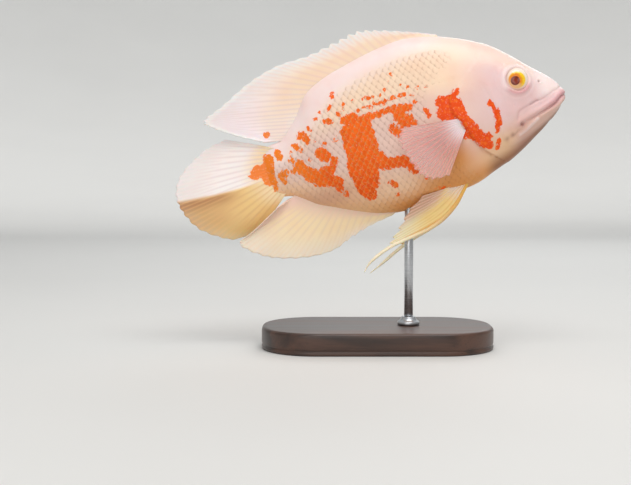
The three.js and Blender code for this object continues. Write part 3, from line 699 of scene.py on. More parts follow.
def scale_cover(x, z):
    """1 where scales show, fading to 0 towards the head and over the smooth crest."""
    return smooth(behind_edge(x, z), 2, 30) * (1 - smooth(above_crest(x, z), -12, 1))


scaled = smooth(behind_edge(body[..., 0], body[..., 2]), 0, 3)
skin_grid = body + body_normal * (relief - SCALE_DEPTH * scaled)[..., None]
tail_pole = skin_grid[0].mean(axis=0)
skin_all = np.concatenate([skin_grid.reshape(-1, 3), [tail_pole, SNOUT_TIP]])


def with_poles(table):
    """A table's values as one list, and one more value for each of the skin's two poles."""
    flat = table.reshape((ROWS * AROUND,) + table.shape[2:])
    return np.concatenate([flat, table[0, :1], table[-1, :1]])


def fan_map(u, width):
    """A pole's faces on the flat map: a low row of triangles at u."""
    v = np.arange(AROUND) / AROUND
    pole_u, ring_u = np.full(AROUND, u), np.full(AROUND, u + width)
    corners = [(pole_u, v + 0.5 / AROUND), (ring_u, v), (ring_u, v + 1 / AROUND)]
    return np.stack([np.stack(corner, axis=1) for corner in corners], axis=1)


skin_map = grid_map(ROWS, AROUND, wraps=True)
skin_map[..., 0] = MAP_MARGIN + (1 - 2 * MAP_MARGIN) * skin_map[..., 0]
skin_values = {"ground": with_poles(body_ground), "ember": with_poles(body_ember)}
skin_values["patch"] = with_poles(body_patch)
skin = add_mesh(
    "skin",
    to_frame(skin_all),
    closed_faces(ROWS, AROUND),
    [skin_map, fan_map(MAP_MARGIN, -MAP_MARGIN / 2), fan_map(1 - MAP_MARGIN, MAP_MARGIN / 2)],
    skin_values,
)
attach(skin, "root")
flesh_nodes = ["head", "upper_jaw", "lower_jaw", "gill_cover_right", "gill_cover_left", "trunk", "tail_stem"]
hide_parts(*flesh_nodes)

# %% [markdown]
# ## Scales
# Each scale is a thin round-ended plate. Its front end is sunk in the skin and its free edge comes
# down on the scales behind it. They could be one displaced surface, but real plates catch light at
# their edges. Rows are counted along the body and round it, so the plates follow the skin.

# %% Lattice of scales on one side
SCALE_PITCH = 4.6
ROW_PITCH = 3.4
ROW_NUMBERS = np.arange(-24, 25)
FIRST_SCALE = 6
LAST_SCALE = 200
GIRTH_REACH = 95
GIRTH_POINTS = 381

half_columns = AROUND // 2
flank = skin_grid[:, :half_columns]
flank_normal = body_normal[:, :half_columns]
middle = half_columns // 2
steps_round = np.linalg.norm(np.diff(flank, axis=1), axis=-1)
girth = np.concatenate([np.zeros((ROWS, 1)), np.cumsum(steps_round, axis=1)], axis=1)
girth = girth - girth[:, middle : middle + 1]
steps_along = np.linalg.norm(np.diff(flank[:, middle], axis=0), axis=-1)
length = np.concatenate([[0], np.cumsum(steps_along)])
girth_axis = np.linspace(-GIRTH_REACH, GIRTH_REACH, GIRTH_POINTS)
column_of = np.stack([np.interp(girth_axis, row, np.arange(half_columns)) for row in girth])
print("length along the side:", round(float(length[-1]), 1), "mm")


def sample(table, i, j):
    """Bilinear: a table's value at a fractional row and column, from its four neighbours."""
    i = np.clip(i, 0, table.shape[0] - 1.001)
    j = np.clip(j, 0, table.shape[1] - 1.001)
    i0, j0 = i.astype(int), j.astype(int)
    fi, fj = i - i0, j - j0
    if table.ndim == 3:
        fi, fj = fi[..., None], fj[..., None]
    top = table[i0, j0] * (1 - fj) + table[i0, j0 + 1] * fj
    bottom = table[i0 + 1, j0] * (1 - fj) + table[i0 + 1, j0 + 1] * fj
    return top * (1 - fi) + bottom * fi


def row_and_column(along, round_it):
    """The skin's grid row and column at a length along the side and a distance round it."""
    i = np.interp(along, length, np.arange(ROWS))
    return i, sample(column_of, i, (round_it - girth_axis[0]) / (girth_axis[1] - girth_axis[0]))


def scale_centres():
    """Rows of points, every second row moved by half a pitch, kept where the fish has scales."""
    down_the_side = np.arange(FIRST_SCALE, LAST_SCALE, SCALE_PITCH)
    along, round_it = np.meshgrid(down_the_side, ROW_NUMBERS * ROW_PITCH, indexing="ij")
    along = along + 0.5 * SCALE_PITCH * (ROW_NUMBERS % 2)[None, :]
    along, round_it = along.ravel(), round_it.ravel()
    i, j = row_and_column(along, round_it)
    low = np.interp(along, length, girth[:, 2])
    high = np.interp(along, length, girth[:, -3])
    x, _, z = np.moveaxis(sample(flank, i, j), -1, 0)
    fits = (round_it > low + 1.5) & (round_it < high - 1.5)
    keep = fits & (behind_edge(x, z) > 2) & (above_crest(x, z) < 1)
    return along[keep], round_it[keep]


scale_along, scale_round = scale_centres()
print("scales on each side:", len(scale_along))

# %% [markdown]
# A plate is a small grid with a bottom. Its height above the skin rises from its sunk root and dips
# again at its free edge and its sides, so that plates meet without a gap. It has few faces, because
# the fish carries hundreds of plates.

# %% Shape of one plate
PLATE_ALONG = 5
PLATE_ACROSS = 5
PLATE_DEPTH = 0.35


def plate_shape():
    """p runs from root to free edge, q across. The edge is an arc, and root, sides and edge dip."""
    p, q = np.meshgrid(np.linspace(0, 1, PLATE_ALONG), np.linspace(-1, 1, PLATE_ACROSS), indexing="ij")
    arc = np.sqrt(1 - 0.86 * q**2)
    along = -0.78 * SCALE_PITCH * mix(-0.9 + 0 * arc, arc, p)
    across = 1.06 * ROW_PITCH * q * (0.72 + 0.28 * np.sin(np.pi * mix(0.1, 0.72, p)))
    height = mix(-0.05, 0.06, smooth(p, 0, 0.8)) - 0.07 * smooth(p, 0.7, 1)
    height = height + 0.012 * (1 - q**2) - 0.06 * q**4
    return p.ravel(), q.ravel(), along.ravel(), across.ravel(), height.ravel()


plate_border = border_of(PLATE_ALONG, PLATE_ACROSS)
PLATE_POINTS = PLATE_ALONG * PLATE_ACROSS
POINTS_IN_ALL = PLATE_POINTS + len(plate_border) + 1
print("points on a plate:", POINTS_IN_ALL, "of which", len(plate_border), "lie on its border")

# %% [markdown]
# The plate is repeated for every centre at once. Its ground colour is decided once for the whole
# scale. The patch distance is read at each point, and a little seeded chance for each scale makes the
# patches ragged. On the flat map a scale is a small square at its own place on the skin's map.

# %% The coat of scales
MAP_PATCH = 0.003


def plate_faces(count):
    """Top and walls as quads and the bottom as a fan, for each of count plates, and which are top."""
    ring = PLATE_POINTS + np.arange(len(plate_border))
    after = np.roll(ring, -1)
    walls = np.stack([plate_border, ring, after, np.roll(plate_border, -1)], axis=1)
    top = grid_faces(PLATE_ALONG, PLATE_ACROSS)
    quads = np.concatenate([top, walls])
    fan = np.stack([ring, np.full(len(ring), POINTS_IN_ALL - 1), after], axis=1)
    shift = (np.arange(count) * POINTS_IN_ALL)[:, None, None]
    is_top = np.tile(np.arange(len(quads)) < len(top), count)
    is_top = np.concatenate([is_top, np.zeros(count * len(fan), bool)])
    return [(quads[None] + shift).reshape(-1, 4), (fan[None] + shift).reshape(-1, 3)], is_top


def plate_places(size, lift, sunk):
    """Points of every plate: its top, its border again under the skin, and the bottom's middle."""
    _, _, along, across, height = plate_shape()
    point_along = scale_along[:, None] + along * size[:, None]
    point_round = scale_round[:, None] + across * size[:, None]
    i, j = row_and_column(point_along, point_round)
    place, normal = sample(flank, i, j), sample(flank_normal, i, j)
    top = place + normal * (height * lift[:, None] + sunk[:, None])[..., None]
    base = place[:, plate_border] - normal[:, plate_border] * PLATE_DEPTH
    return np.concatenate([top, base, base.mean(axis=1, keepdims=True)], axis=1)


def plate_squares(faces, i, j, side):
    """The faces' corners on the flat map: each plate is a small square at its own row and column."""
    p, q, _, _, _ = plate_shape()
    root_u = MAP_MARGIN + (1 - 2 * MAP_MARGIN) * i / (ROWS - 1)
    root_v = (j + 0.5) / AROUND if side < 0 else 1 - (j + 0.5) / AROUND
    own = np.stack([p, (q + 1) / 2], axis=1)
    local = np.concatenate([own, own[plate_border], [[0.5, 0.5]]])
    flat = np.stack([root_u, root_v], 1)[:, None] + MAP_PATCH * (local[None] - 0.5)
    flat = np.clip(flat, 0, 1).reshape(-1, 2)
    return [flat[group] for group in faces]


print("faces on a plate:", len(plate_faces(1)[1]))

# %% [markdown]
# Chance is seeded, so the same fish comes out every time. Each side has its own seed, because two
# equal sides would look cast from one mould.


# %% Both sides
def scale_coat(name, side, seed):
    """All plates of one side as one mesh. side is -1 for the right of the fish and 1 for its left."""
    chance = np.random.default_rng(seed)
    p, q, _, _, _ = plate_shape()
    count = len(scale_along)
    size = mix(0.72, 1.0, smooth(scale_along, 8, 40)) * chance.uniform(0.96, 1.04, count)
    i, j = row_and_column(scale_along, scale_round)
    middle_x, _, middle_z = np.moveaxis(sample(flank, i, j), -1, 0)
    presence = scale_cover(middle_x, middle_z)
    lift = mix(0.4, 1, presence) * chance.uniform(0.88, 1.12, count)
    points = plate_places(size, lift, mix(-0.14, 0, smooth(presence, 0, 0.7)))
    points[..., 1] *= -side
    faces, is_top = plate_faces(count)
    tone = chance.normal(1, 0.012, (count, 1)) * sample(body_ground[:, :half_columns], i, j)
    ember = chance.normal(1, 0.05, (count, 1)) * sample(body_ember[:, :half_columns], i, j)

    def spread(value):
        """One value for each plate, repeated for each of its points."""
        return np.repeat(value, POINTS_IN_ALL, axis=0)

    edge = np.concatenate([np.maximum(p**3, 0.7 * np.abs(q) ** 3), np.ones(len(plate_border) + 1)])
    values = {"ground": spread(np.clip(tone, 0, 1)), "ember": spread(np.clip(ember, 0, 1))}
    values["patch"] = patches(points).ravel() + spread(chance.normal(0, 0.4, count))
    values["edge"] = np.tile(edge, count)
    values["presence"] = spread(presence)
    corners = plate_squares(faces, i, j, side)
    piece = add_mesh(name, to_frame(points), faces, corners, values, side < 0, is_top)
    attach(piece, "root")
    return piece


scales_right = scale_coat("scales_right", -1, 11)
scales_left = scale_coat("scales_left", 1, 12)

# %% [markdown]
# ## Fins
# A fin is a fan of bony rays with a thin membrane between them. The centre surface is worked out
# from the roots and tips of a few rays, and then gets a thickness on both sides that swells at each
# ray. Notches between the ray tips give the free edge its comb of points.

# %% Fin surfaces
FIN_ROOT = 4.5


def fin_surface(rays, across, steps, bend, notch, side=1):
    """Rays run from root to tip, notched between tips, and are moved sideways by bend(u, v)."""
    v = np.linspace(0, 1, across + 1)
    u = np.linspace(0, 1, steps + 1)
    table = np.asarray(rays, float)
    if table.shape[-1] == 2:
        table = np.stack([table[..., 0], np.zeros(table.shape[:-1]), table[..., 1]], axis=-1)
    table = table * np.array([1, side, 1])
    lines = through(table, v)
    reach = 1 - notch(v)
    spread_u = u[:, None] * reach[None, :]
    knots = np.moveaxis(lines, 1, 0)
    rows = np.stack([through(knots[:, k], spread_u[:, k]) for k in range(across + 1)], axis=1)
    rows[..., 1] += bend(spread_u, v[None, :])
    way = rows[1] - rows[0]
    buried = rows[0] - FIN_ROOT * way / np.linalg.norm(way, axis=-1, keepdims=True)
    return np.concatenate([buried[None], rows]), np.concatenate([[0], u])


def plate(front, back):
    """Two grids as one closed plate: both faces, and a rim round all four edges."""
    rows, columns = front.shape[:2]
    border = border_of(rows, columns)
    other = border + rows * columns
    faces = grid_faces(rows, columns)
    rim = np.stack([border, other, np.roll(other, -1), np.roll(border, -1)], axis=1)
    points = np.concatenate([front.reshape(-1, 3), back.reshape(-1, 3)])
    return points, [faces, (faces + rows * columns)[:, ::-1], rim]


def plate_map(rows, columns, rim_count):
    """The front face on the left half of the map, the back face on the right, the rim a thin strip."""
    faces = grid_map(rows, columns)
    front = faces * np.array([0.47, 0.96]) + np.array([0.01, 0.01])
    back = (faces * np.array([0.47, 0.96]) + np.array([0.51, 0.01]))[:, ::-1]
    t = np.arange(rim_count) / rim_count
    after = t + 1 / rim_count
    rim = np.stack([np.stack([t, t, after, after], axis=1), np.full((rim_count, 4), 0.985)], axis=-1)
    rim[:, 1:3, 1] += 0.01
    return [front, back, rim * np.array([0.98, 1]) + np.array([0.01, 0])]


def ray_pattern(u, v, count, branch, sharp):
    """A ridge at each ray, a power of a cosine. Past the branching point there are twice as many."""
    single = np.abs(np.cos(np.pi * count * v)) ** sharp
    double = np.abs(np.cos(2 * np.pi * count * v)) ** (0.7 * sharp)
    return mix(single, 0.8 * double, smooth(u, branch, branch + 0.25))


print("ridge on a ray and between two:", ray_pattern(0, np.array([0, 0.05]), 10, 0.5, 6).round(2))

# %% [markdown]
# One function makes every fin. What differs between fins comes in as values and as two small
# functions: one paints the fin and one bends it out of its plane.


# %% One fin from its rays
def add_fin(
    name, cad_node, rays, count, paint, bend, across, steps, thick, ridge, notch_depth,
    side=1, branch=0.5, spotted=False, sharp=6,
):
    """Surface, ray ridges, thickness, colours and flat map of one fin, as a closed mesh."""

    def notch(v):
        """The edge is cut back between ray tips: depth times one less a power of the cosine."""
        return notch_depth(v) * (1 - np.abs(np.cos(np.pi * count * v)) ** 1.5)

    centre, u = fin_surface(rays, across, steps, bend, notch, side)
    v = np.linspace(0, 1, across + 1)
    u_grid, v_grid = np.meshgrid(u, v, indexing="ij")
    pattern = ray_pattern(u_grid, v_grid, count, branch, sharp)
    half = mix(thick[0], thick[1], np.sqrt(u_grid)) + ridge * pattern * (1 - 0.65 * u_grid)
    normal = normals_of(centre)
    points, faces = plate(centre + normal * half[..., None], centre - normal * half[..., None])
    ground, ray_colour, clear = paint(u_grid, v_grid)
    patch = np.full(u_grid.shape, FAR_AWAY)
    if spotted:
        patch = patch_distance(centre[..., 0], centre[..., 2])

    def twice(value):
        """The same value on the front and the back face."""
        flat = value.reshape((-1,) + value.shape[2:])
        return np.concatenate([flat, flat])

    values = {"ground": twice(ground), "ray_colour": twice(ray_colour), "ray": twice(pattern)}
    values["clear"] = twice(clear)
    values["patch"] = twice(patch)
    values["ember"] = twice(patch_colour(centre[..., 0], centre[..., 2]))
    outward = np.cross(centre[1, 0] - centre[0, 0], centre[0, 1] - centre[0, 0])
    turned = float((outward * normal[0, 0]).sum()) < 0
    flat = plate_map(*centre.shape[:2], 2 * (centre.shape[0] + centre.shape[1]) - 4)
    piece = add_mesh(name, to_frame(points), faces, flat, values, turned)
    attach(piece, "root")
    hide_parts(cad_node)


print("a fin's root is buried", FIN_ROOT, "mm deep")

# %% [markdown]
# The dorsal fin starts low with spines and ends in a long soft lobe that trails over the tail. Its
# base grows out of the white crest, so its colour starts as peach there and turns white at the edge.

# %% Dorsal fin
DORSAL_RAYS = [
    [(146, 58.6), (144.4, 61.4)], [(132, 62.6), (128, 67.2)], [(115, 63.8), (107, 73.6)],
    [(100, 61.8), (90, 77)], [(86, 58.6), (72, 73.4)], [(72, 55.2), (51, 68.8)], [(58, 50.8), (27, 66.8)],
    [(47, 45.6), (4.4, 59.7)], [(39.6, 38.6), (-18, 48.4)], [(34, 30.6), (-32.9, 41.2)],
    [(28.6, 24.6), (-27, 34.4)], [(22.4, 18.6), (-11, 24.6)], [(17, 14.2), (6, 15.9)],
]
FIN_WHITE = linear("#fbf0ed")
FIN_PEACH = linear("#f8dcc0")
FIN_CREAM = linear("#f6deb4")
FIN_TAN = linear("#f6d28c")
RAY_ROSE = linear("#f1d0bf")
RAY_GREY = linear("#e6d3d3")


def paint_dorsal(u, v):
    """Peach at the base and towards the front, white at the edge and on the soft lobe."""
    ground = mix3(FIN_PEACH, FIN_WHITE, np.clip(smooth(u, 0.3, 0.9) + 0.6 * smooth(v, 0.55, 0.9), 0, 1))
    ground = mix3(ground, linear("#fbe8ec"), 0.8 * smooth(v, 0.5, 0.75) * smooth(u, 0.2, 0.6))
    ground = mix3(ground, linear("#fffaf6"), smooth(u, 0.88, 0.96))
    return ground, mix3(RAY_ROSE, RAY_GREY, smooth(v, 0.4, 0.8)), 0.12 * smooth(u, 0.5, 1)


add_fin(
    "dorsal_fin_skin", "dorsal_fin", DORSAL_RAYS, 32, paint_dorsal,
    bend=lambda u, v: -3.4 * u * u * smooth(v, 0.45, 0.85),
    across=384, steps=40, thick=(1.5, 0.28), ridge=0.17,
    notch_depth=lambda v: mix(0.13, 0.02, smooth(v, 0.3, 0.5)), spotted=True,
)

# %% [markdown]
# The anal fin mirrors the soft dorsal lobe under the tail. Three short spines lead it, and its hind
# corner folds towards the viewer, so it overlaps the lower lobe of the tail fin.

# %% Anal fin
ANAL_RAYS = [
    [(86, -56.4), (83, -57.9)], [(74, -54.2), (66, -61.4)], [(63, -50.6), (51, -66.4)],
    [(53, -46.4), (36, -72)], [(44.6, -42.8), (18, -72.6)], [(37.4, -39.8), (-2, -68.6)],
    [(30.6, -36.4), (-17, -62)], [(25, -32.4), (-29.1, -50.8)], [(20.6, -29.4), (-17, -44.2)],
    [(17, -27), (5, -31.6)],
]


def paint_anal(u, v):
    """Cream in the middle, white at the edge, rose along the hind fold, and pinkish tan painted shade at the
    root.
    """
    ground = mix3(FIN_CREAM, linear("#fbead8"), smooth(u, 0.4, 1))
    # Painted shade: pinkish tan at the root, next to the body.
    ground = mix3(linear("#eecdb6"), ground, smooth(u, 0.02, 0.3))
    ground = mix3(ground, linear("#f1cdbf"), 0.7 * smooth(v, 0.72, 0.92))
    return ground, mix3(RAY_ROSE, linear("#ead2b4"), 1 - smooth(v, 0.6, 0.9)), 0.1 * smooth(u, 0.5, 1)


add_fin(
    "anal_fin_skin", "anal_fin", ANAL_RAYS, 20, paint_anal,
    bend=lambda u, v: -8 * u**1.4 * smooth(v, 0.25, 0.8),
    across=260, steps=40, thick=(1.5, 0.28), ridge=0.14,
    notch_depth=lambda v: mix(0.12, 0.015, smooth(v, 0.2, 0.35)),
)

# %% [markdown]
# The tail fin is folded along its middle with the fold towards the viewer. The upper half faces
# the light and looks white, and the lower half turns under and shows its tan membrane. A brown
# streak painted just under the fold stands for the shade in its crease.

# %% Tail fin
CAUDAL_RAYS = [
    [(8, 12.2), (-21.4, 24.8)], [(7, 9.6), (-36, 21.4)], [(5.6, 6), (-49.6, 14.3)],
    [(4.6, 1.8), (-60, 6)], [(4, -2.4), (-65.2, -4)], [(3.8, -6), (-64.8, -13)],
    [(4, -9.6), (-62, -22.6)], [(4.6, -14), (-55.6, -33.4)], [(5.6, -18.6), (-43.6, -42.4)],
    [(7, -22), (-31.4, -47.4)], [(10.5, -25.4), (-12.4, -44.8)],
]
FOLD = (0.63, 0.49)


def under_fold(u, v):
    """How far across the rays a point lies under the fold, whose share moves from root to tip."""
    return v - mix(FOLD[0], FOLD[1], u)


def paint_caudal(u, v):
    """White above the fold and tan below it, with a brown streak of painted shade along the fold, a darker
    tan band below that and a yellow root.
    """
    under = under_fold(u, v)
    below = smooth(under, -0.035, 0.005)
    ground = mix3(FIN_WHITE, FIN_TAN, below * mix(0.97, 0.7, smooth(u, 0.8, 1)))
    # Painted shade: a brown streak just under the fold.
    streak = bump(under - 0.025, 0.07) * smooth(u, 0.3, 0.6) * below
    ground = mix3(ground, linear("#bd8657"), 0.85 * streak)
    ground = mix3(ground, linear("#d9a877"), 0.5 * bump(under - 0.16, 0.12) * smooth(u, 0.45, 0.8) * below)
    ground = mix3(linear("#f9dfb4"), ground, smooth(u, 0.05, 0.35))
    rays = mix3(RAY_GREY, linear("#e6bd83"), below)
    return ground, rays, 0.16 * smooth(u, 0.5, 1)


def bend_caudal(u, v):
    """The fold is the part nearest the viewer, and both halves slope away from it."""
    under = under_fold(u, v)
    return u * (-8 + 22 * np.abs(under) + 10 * np.maximum(under, 0))


add_fin(
    "caudal_fin_skin", "caudal_fin", CAUDAL_RAYS, 17, paint_caudal,
    bend=bend_caudal,
    across=306, steps=48, thick=(1.5, 0.26), ridge=0.22, notch_depth=lambda v: 0.016 + 0 * v,
    spotted=True,
)

# %% [markdown]
# The pectoral fins are clear fans on rose-coloured rays. The flank shows through them, so their
# material is partly see-through between the rays.

# %% Pectoral fins
PECTORAL_RAYS = [
    [(144.6, 22.3, -1.6), (101.6, 26, 1.4)], [(144.8, 22.2, -3.2), (98.6, 28, -7.6)],
    [(145.2, 22, -4.8), (102, 29.6, -20)], [(145.8, 21.8, -6.2), (106, 30.4, -31)],
    [(146.6, 21.6, -7.6), (114, 30.4, -38)], [(147.6, 21.4, -8.8), (127, 29, -38.8)],
]
PECTORAL_ROOT = linear("#f3e0e2")
PECTORAL_MEMBRANE = linear("#f9ccc6")
PECTORAL_RAY = linear("#c8473c")


def paint_pectoral(u, v):
    """Milky at the root, then a see-through membrane between rose rays."""
    ground = mix3(PECTORAL_ROOT, PECTORAL_MEMBRANE, smooth(u, 0.08, 0.4))
    rays = mix3(PECTORAL_ROOT, PECTORAL_RAY, smooth(u, 0.05, 0.3))
    return ground, rays, 0.72 * smooth(u, 0.1, 0.5)


for side_name, side in (("right", -1), ("left", 1)):
    add_fin(
        "pectoral_fin_skin_" + side_name, "pectoral_fin_" + side_name, PECTORAL_RAYS, 11, paint_pectoral,
        bend=lambda u, v, side=side: side * 1.5 * np.sin(np.pi * u),
        across=208, steps=36, thick=(1.0, 0.24), ridge=0.34, notch_depth=lambda v: 0.035 + 0 * v,
        side=side, branch=0.6, sharp=12,
    )

# %% [markdown]
# The pelvic fins hang under the breast. A strong front ray carries a thread that trails far behind
# the fin, so each of them is a fan like the others plus a tapering tube along that ray. The left fin
# hangs a little lower and wider than the right one.

# %% Lines of the pelvic fins
PELVIC = {
    "right": {
        "rays": [
            [(140, 5.4, -48.6), (119, 8.6, -67.2), (80, 10.2, -77.4)],
            [(138.4, 5.6, -48), (116, 8.8, -64), (76, 10.6, -76)],
            [(136.8, 5.8, -47.6), (113, 9, -60.4), (82, 11.2, -70.2)],
            [(135, 6, -47.4), (113, 9.2, -56.6), (88.4, 11.6, -63.4)],
            [(133.4, 6.4, -47), (115, 9.2, -52.2), (95, 11.6, -56.6)],
            [(131.6, 7, -46.6), (120, 9.4, -48), (107, 11.4, -48.8)],
        ],
        "thread": [
            (142, 4.6, -46), (139.6, 5.4, -49.4), (130, 7.2, -59.6), (118.6, 8.6, -67.6),
            (107, 9.6, -72.6), (96, 10, -75), (86.4, 10.2, -76.6), (76.8, 10.4, -78.6),
            (66.8, 10.2, -82.4), (58.4, 10, -87), (53.7, 9.6, -92),
        ],
    },
    "left": {
        "rays": [
            [(141, 5.4, -48.8), (121, 11.4, -69.6), (87, 15.4, -81.6)],
            [(139.2, 5.6, -48.4), (119, 11.8, -67), (83, 15.8, -79.4)],
            [(137.4, 5.8, -48), (117, 12.2, -63.4), (88, 16.6, -72.6)],
            [(135.6, 6, -47.6), (117, 12.6, -59), (94, 17.2, -65.6)],
            [(133.8, 6.4, -47.2), (119, 12.4, -54.4), (100, 17.2, -58.6)],
            [(131.8, 7, -46.8), (122, 11.8, -50), (110, 16, -51.4)],
        ],
        "thread": [
            (143, 4.6, -46.2), (140.8, 5.6, -49.6), (131.6, 8.8, -61.4), (120, 11.8, -70.2),
            (108, 13.8, -75.2), (97, 15, -78.6), (86.6, 15.6, -82.6), (78, 15.8, -86.6),
            (68, 15.8, -91.8), (58.1, 15.8, -96.4),
        ],
    },
}
print("lowest thread tip:", PELVIC["left"]["thread"][-1], "mm")

# %% [markdown]
# The thread is a circle carried along a smooth line and drawn to a point at the end. A curve object
# with a bevel would give nearly the same, but here each point carries the fin's colours as well.


# %% Pelvic fins
def paint_pelvic(u, v):
    """Golden along the front ray, cream behind it, and rose rays towards the belly."""
    ground = mix3(linear("#fadfca"), linear("#ffdb92"), smooth(u, 0.1, 0.35))
    ground = mix3(ground, linear("#fff0cf"), smooth(u, 0.6, 0.95))
    ground = mix3(ground, linear("#e7b698"), smooth(v, 0.4, 0.75) * smooth(u, 0.2, 0.5))
    ground = mix3(ground, linear("#e8a23a"), 0.8 * (1 - smooth(v, 0.02, 0.09)) * smooth(u, 0.1, 0.4))
    rays = mix3(linear("#e6b866"), linear("#f0d3c4"), smooth(v, 0.3, 0.6))
    return ground, rays, 0.3 * smooth(u, 0.3, 0.8) * smooth(v, 0.3, 0.7)


def tube(points, root_radius, tip_radius, steps=90, sides=14):
    """A circle carried along a smooth line: two directions square to it, times cosine and sine."""
    t = np.linspace(0, 1, steps)
    centre = through(points, t)
    way = np.gradient(centre, axis=0)
    way = way / np.linalg.norm(way, axis=-1, keepdims=True)
    one = np.cross(way, np.array([0, 1, 0]))
    one = one / np.linalg.norm(one, axis=-1, keepdims=True)
    two = np.cross(way, one)
    angle = 2 * np.pi * np.arange(sides) / sides
    radius = (mix(root_radius, tip_radius, t) * (1 - 0.7 * smooth(t, 0.8, 1)))[:, None, None]
    circle = np.cos(angle)[None, :, None] * one[:, None] + np.sin(angle)[None, :, None] * two[:, None]
    return centre[:, None] + radius * circle, centre


def add_thread(name, line, side, radius):
    """A closed tube with both ends drawn to a pole, coloured like a fin's front ray."""
    rings, centre = tube(np.asarray(line, float) * np.array([1, side, 1]), *radius)
    rows, sides = rings.shape[:2]
    poles = np.stack([centre[0], centre[-1] + 0.5 * (centre[-1] - centre[-2])])
    points = np.concatenate([rings.reshape(-1, 3), poles])
    t = np.concatenate([np.repeat(np.linspace(0, 1, rows), sides), [0, 1]])
    colour = mix3(linear("#ecb556"), linear("#fff0d0"), smooth(t, 0.1, 0.7))
    values = {"ground": colour, "ray_colour": colour, "ray": 0 * t, "clear": 0 * t}
    values["patch"] = 0 * t + FAR_AWAY
    values["ember"] = colour
    piece = add_mesh(name, to_frame(points), closed_faces(rows, sides), None, values, turned=True)
    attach(piece, "root")


for side_name, side in (("right", -1), ("left", 1)):
    add_fin(
        "pelvic_fin_skin_" + side_name, "pelvic_fin_" + side_name, PELVIC[side_name]["rays"], 6, paint_pelvic,
        bend=lambda u, v: 0 * u * v, across=120, steps=48, thick=(0.9, 0.26), ridge=0.4,
        notch_depth=lambda v: 0.06 * smooth(v, 0.1, 0.3), side=side, branch=0.4,
    )
    add_thread("pelvic_thread_" + side_name, PELVIC[side_name]["thread"], side, (1.45, 1.2))

# %% [markdown]
# ## Eyes
# A fish's eye is a flattened ball that stands a little proud of its socket. A profile turned about
# the eye's own axis gives the ball. Each point stores its distance from the middle of the iris and
# from the middle of the pupil, so that the material can draw pupil, iris and pale rim as rings.

# %% Eyeballs
EYE_RADIUS = 8.7
EYE_DEPTH = 6.0
EYE_PROUD = 2.5
IRIS = (190.6, 15)
PUPIL = (189.2, 14.8)


def flank_half_width(x, z):
    """Half the body's width where the side view has this point, from the nearest grid point."""
    away = np.hypot(body[..., 0] - x, body[..., 2] - z)
    return float(np.abs(body[..., 1]).ravel()[np.argmin(away)])


def add_eye(name, cad_node, side):
    """A half circle turned about the eye's axis and squashed: a closed ball with two poles."""
    rings, sides = 64, 96
    turn = np.linspace(0, np.pi, rings + 2)[1:-1, None]
    angle = 2 * np.pi * np.arange(sides)[None, :] / sides
    middle_y = flank_half_width(*EYE_CENTRE) + EYE_PROUD - EYE_DEPTH
    flat = 1 - 0.1 * bump(np.sin(turn), 0.3)
    radius = EYE_RADIUS * np.sin(turn)
    out = middle_y + EYE_DEPTH * np.cos(turn) * flat
    x = EYE_CENTRE[0] + radius * np.cos(angle)
    z = EYE_CENTRE[1] + radius * np.sin(angle)
    y = side * out + 0 * x
    poles = [
        (EYE_CENTRE[0], side * (middle_y + EYE_DEPTH * 0.9), EYE_CENTRE[1]),
        (EYE_CENTRE[0], side * (middle_y - EYE_DEPTH * 0.9), EYE_CENTRE[1]),
    ]
    points = np.concatenate([np.stack([x, y, z], -1).reshape(-1, 3), poles])
    iris_x, iris_z = points[:, 0] - IRIS[0], points[:, 2] - IRIS[1]
    values = {"iris": np.hypot(iris_x, iris_z)}
    values["pupil"] = np.hypot(points[:, 0] - PUPIL[0], points[:, 2] - PUPIL[1])
    values["spoke"] = np.arctan2(iris_z, iris_x)
    piece = add_mesh(name, to_frame(points), closed_faces(rings, sides), None, values, turned=side > 0)
    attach(piece, "root")
    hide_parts(cad_node)
    return piece


eyes = [add_eye("eyeball_right", "eye_right", -1), add_eye("eyeball_left", "eye_left", 1)]
print("eyes stand", EYE_PROUD, "mm proud of the head")

# %% [markdown]
# ## Stand
# The plinth is a slab with round ends, a softened top edge and a fine bead round its foot. A profile
# carried round a rounded rectangle gives all of it. Rod and collar are profiles turned on a lathe.

# %% Plinth
PLINTH_LENGTH = 168
PLINTH_WIDTH = 92
PLINTH_HEIGHT = 16
PLINTH_CORNER = 40
PER_CORNER = 28


def rounded_rectangle(inset):
    """Four quarter circles, one round each corner, joined by straight sides."""
    corner = max(PLINTH_CORNER - inset, 1)
    x = PLINTH_LENGTH / 2 - inset - corner
    y = PLINTH_WIDTH / 2 - inset - corner
    turn = np.linspace(0, np.pi / 2, PER_CORNER)
    loop = []
    for quarter, (sx, sy) in enumerate([(1, 1), (-1, 1), (-1, -1), (1, -1)]):
        angle = turn + quarter * np.pi / 2
        loop.append(np.stack([sx * x + corner * np.cos(angle), sy * y + corner * np.sin(angle)], axis=1))
    return np.concatenate(loop)


def add_plinth():
    """The profile gives an inset and a height for each ring, from the foot's middle to the top's."""
    edge = np.linspace(0, np.pi / 2, 7)
    profile = [(40, 0), (1.2, 0), (0.3, 0.35), (0, 1.2), (0, 2.6), (0.7, 3.1), (0.7, 3.7), (0.2, 4.2), (0, 5)]
    profile += [(0, 12)]
    profile += [(2.4 - 2.4 * math.cos(a), PLINTH_HEIGHT - 2.4 + 2.4 * math.sin(a)) for a in edge]
    profile += [(3.4, PLINTH_HEIGHT), (12, PLINTH_HEIGHT), (40, PLINTH_HEIGHT)]
    count = 4 * PER_CORNER
    rings = [np.column_stack([rounded_rectangle(inset), np.full(count, height)]) for inset, height in profile]
    points = np.concatenate(rings + [[(0, 0, 0)], [(0, 0, PLINTH_HEIGHT)]])
    piece = add_mesh("plinth", points * MM, closed_faces(len(profile), count))
    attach(piece, "root")
    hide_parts("stand_base")
    return piece


plinth = add_plinth()

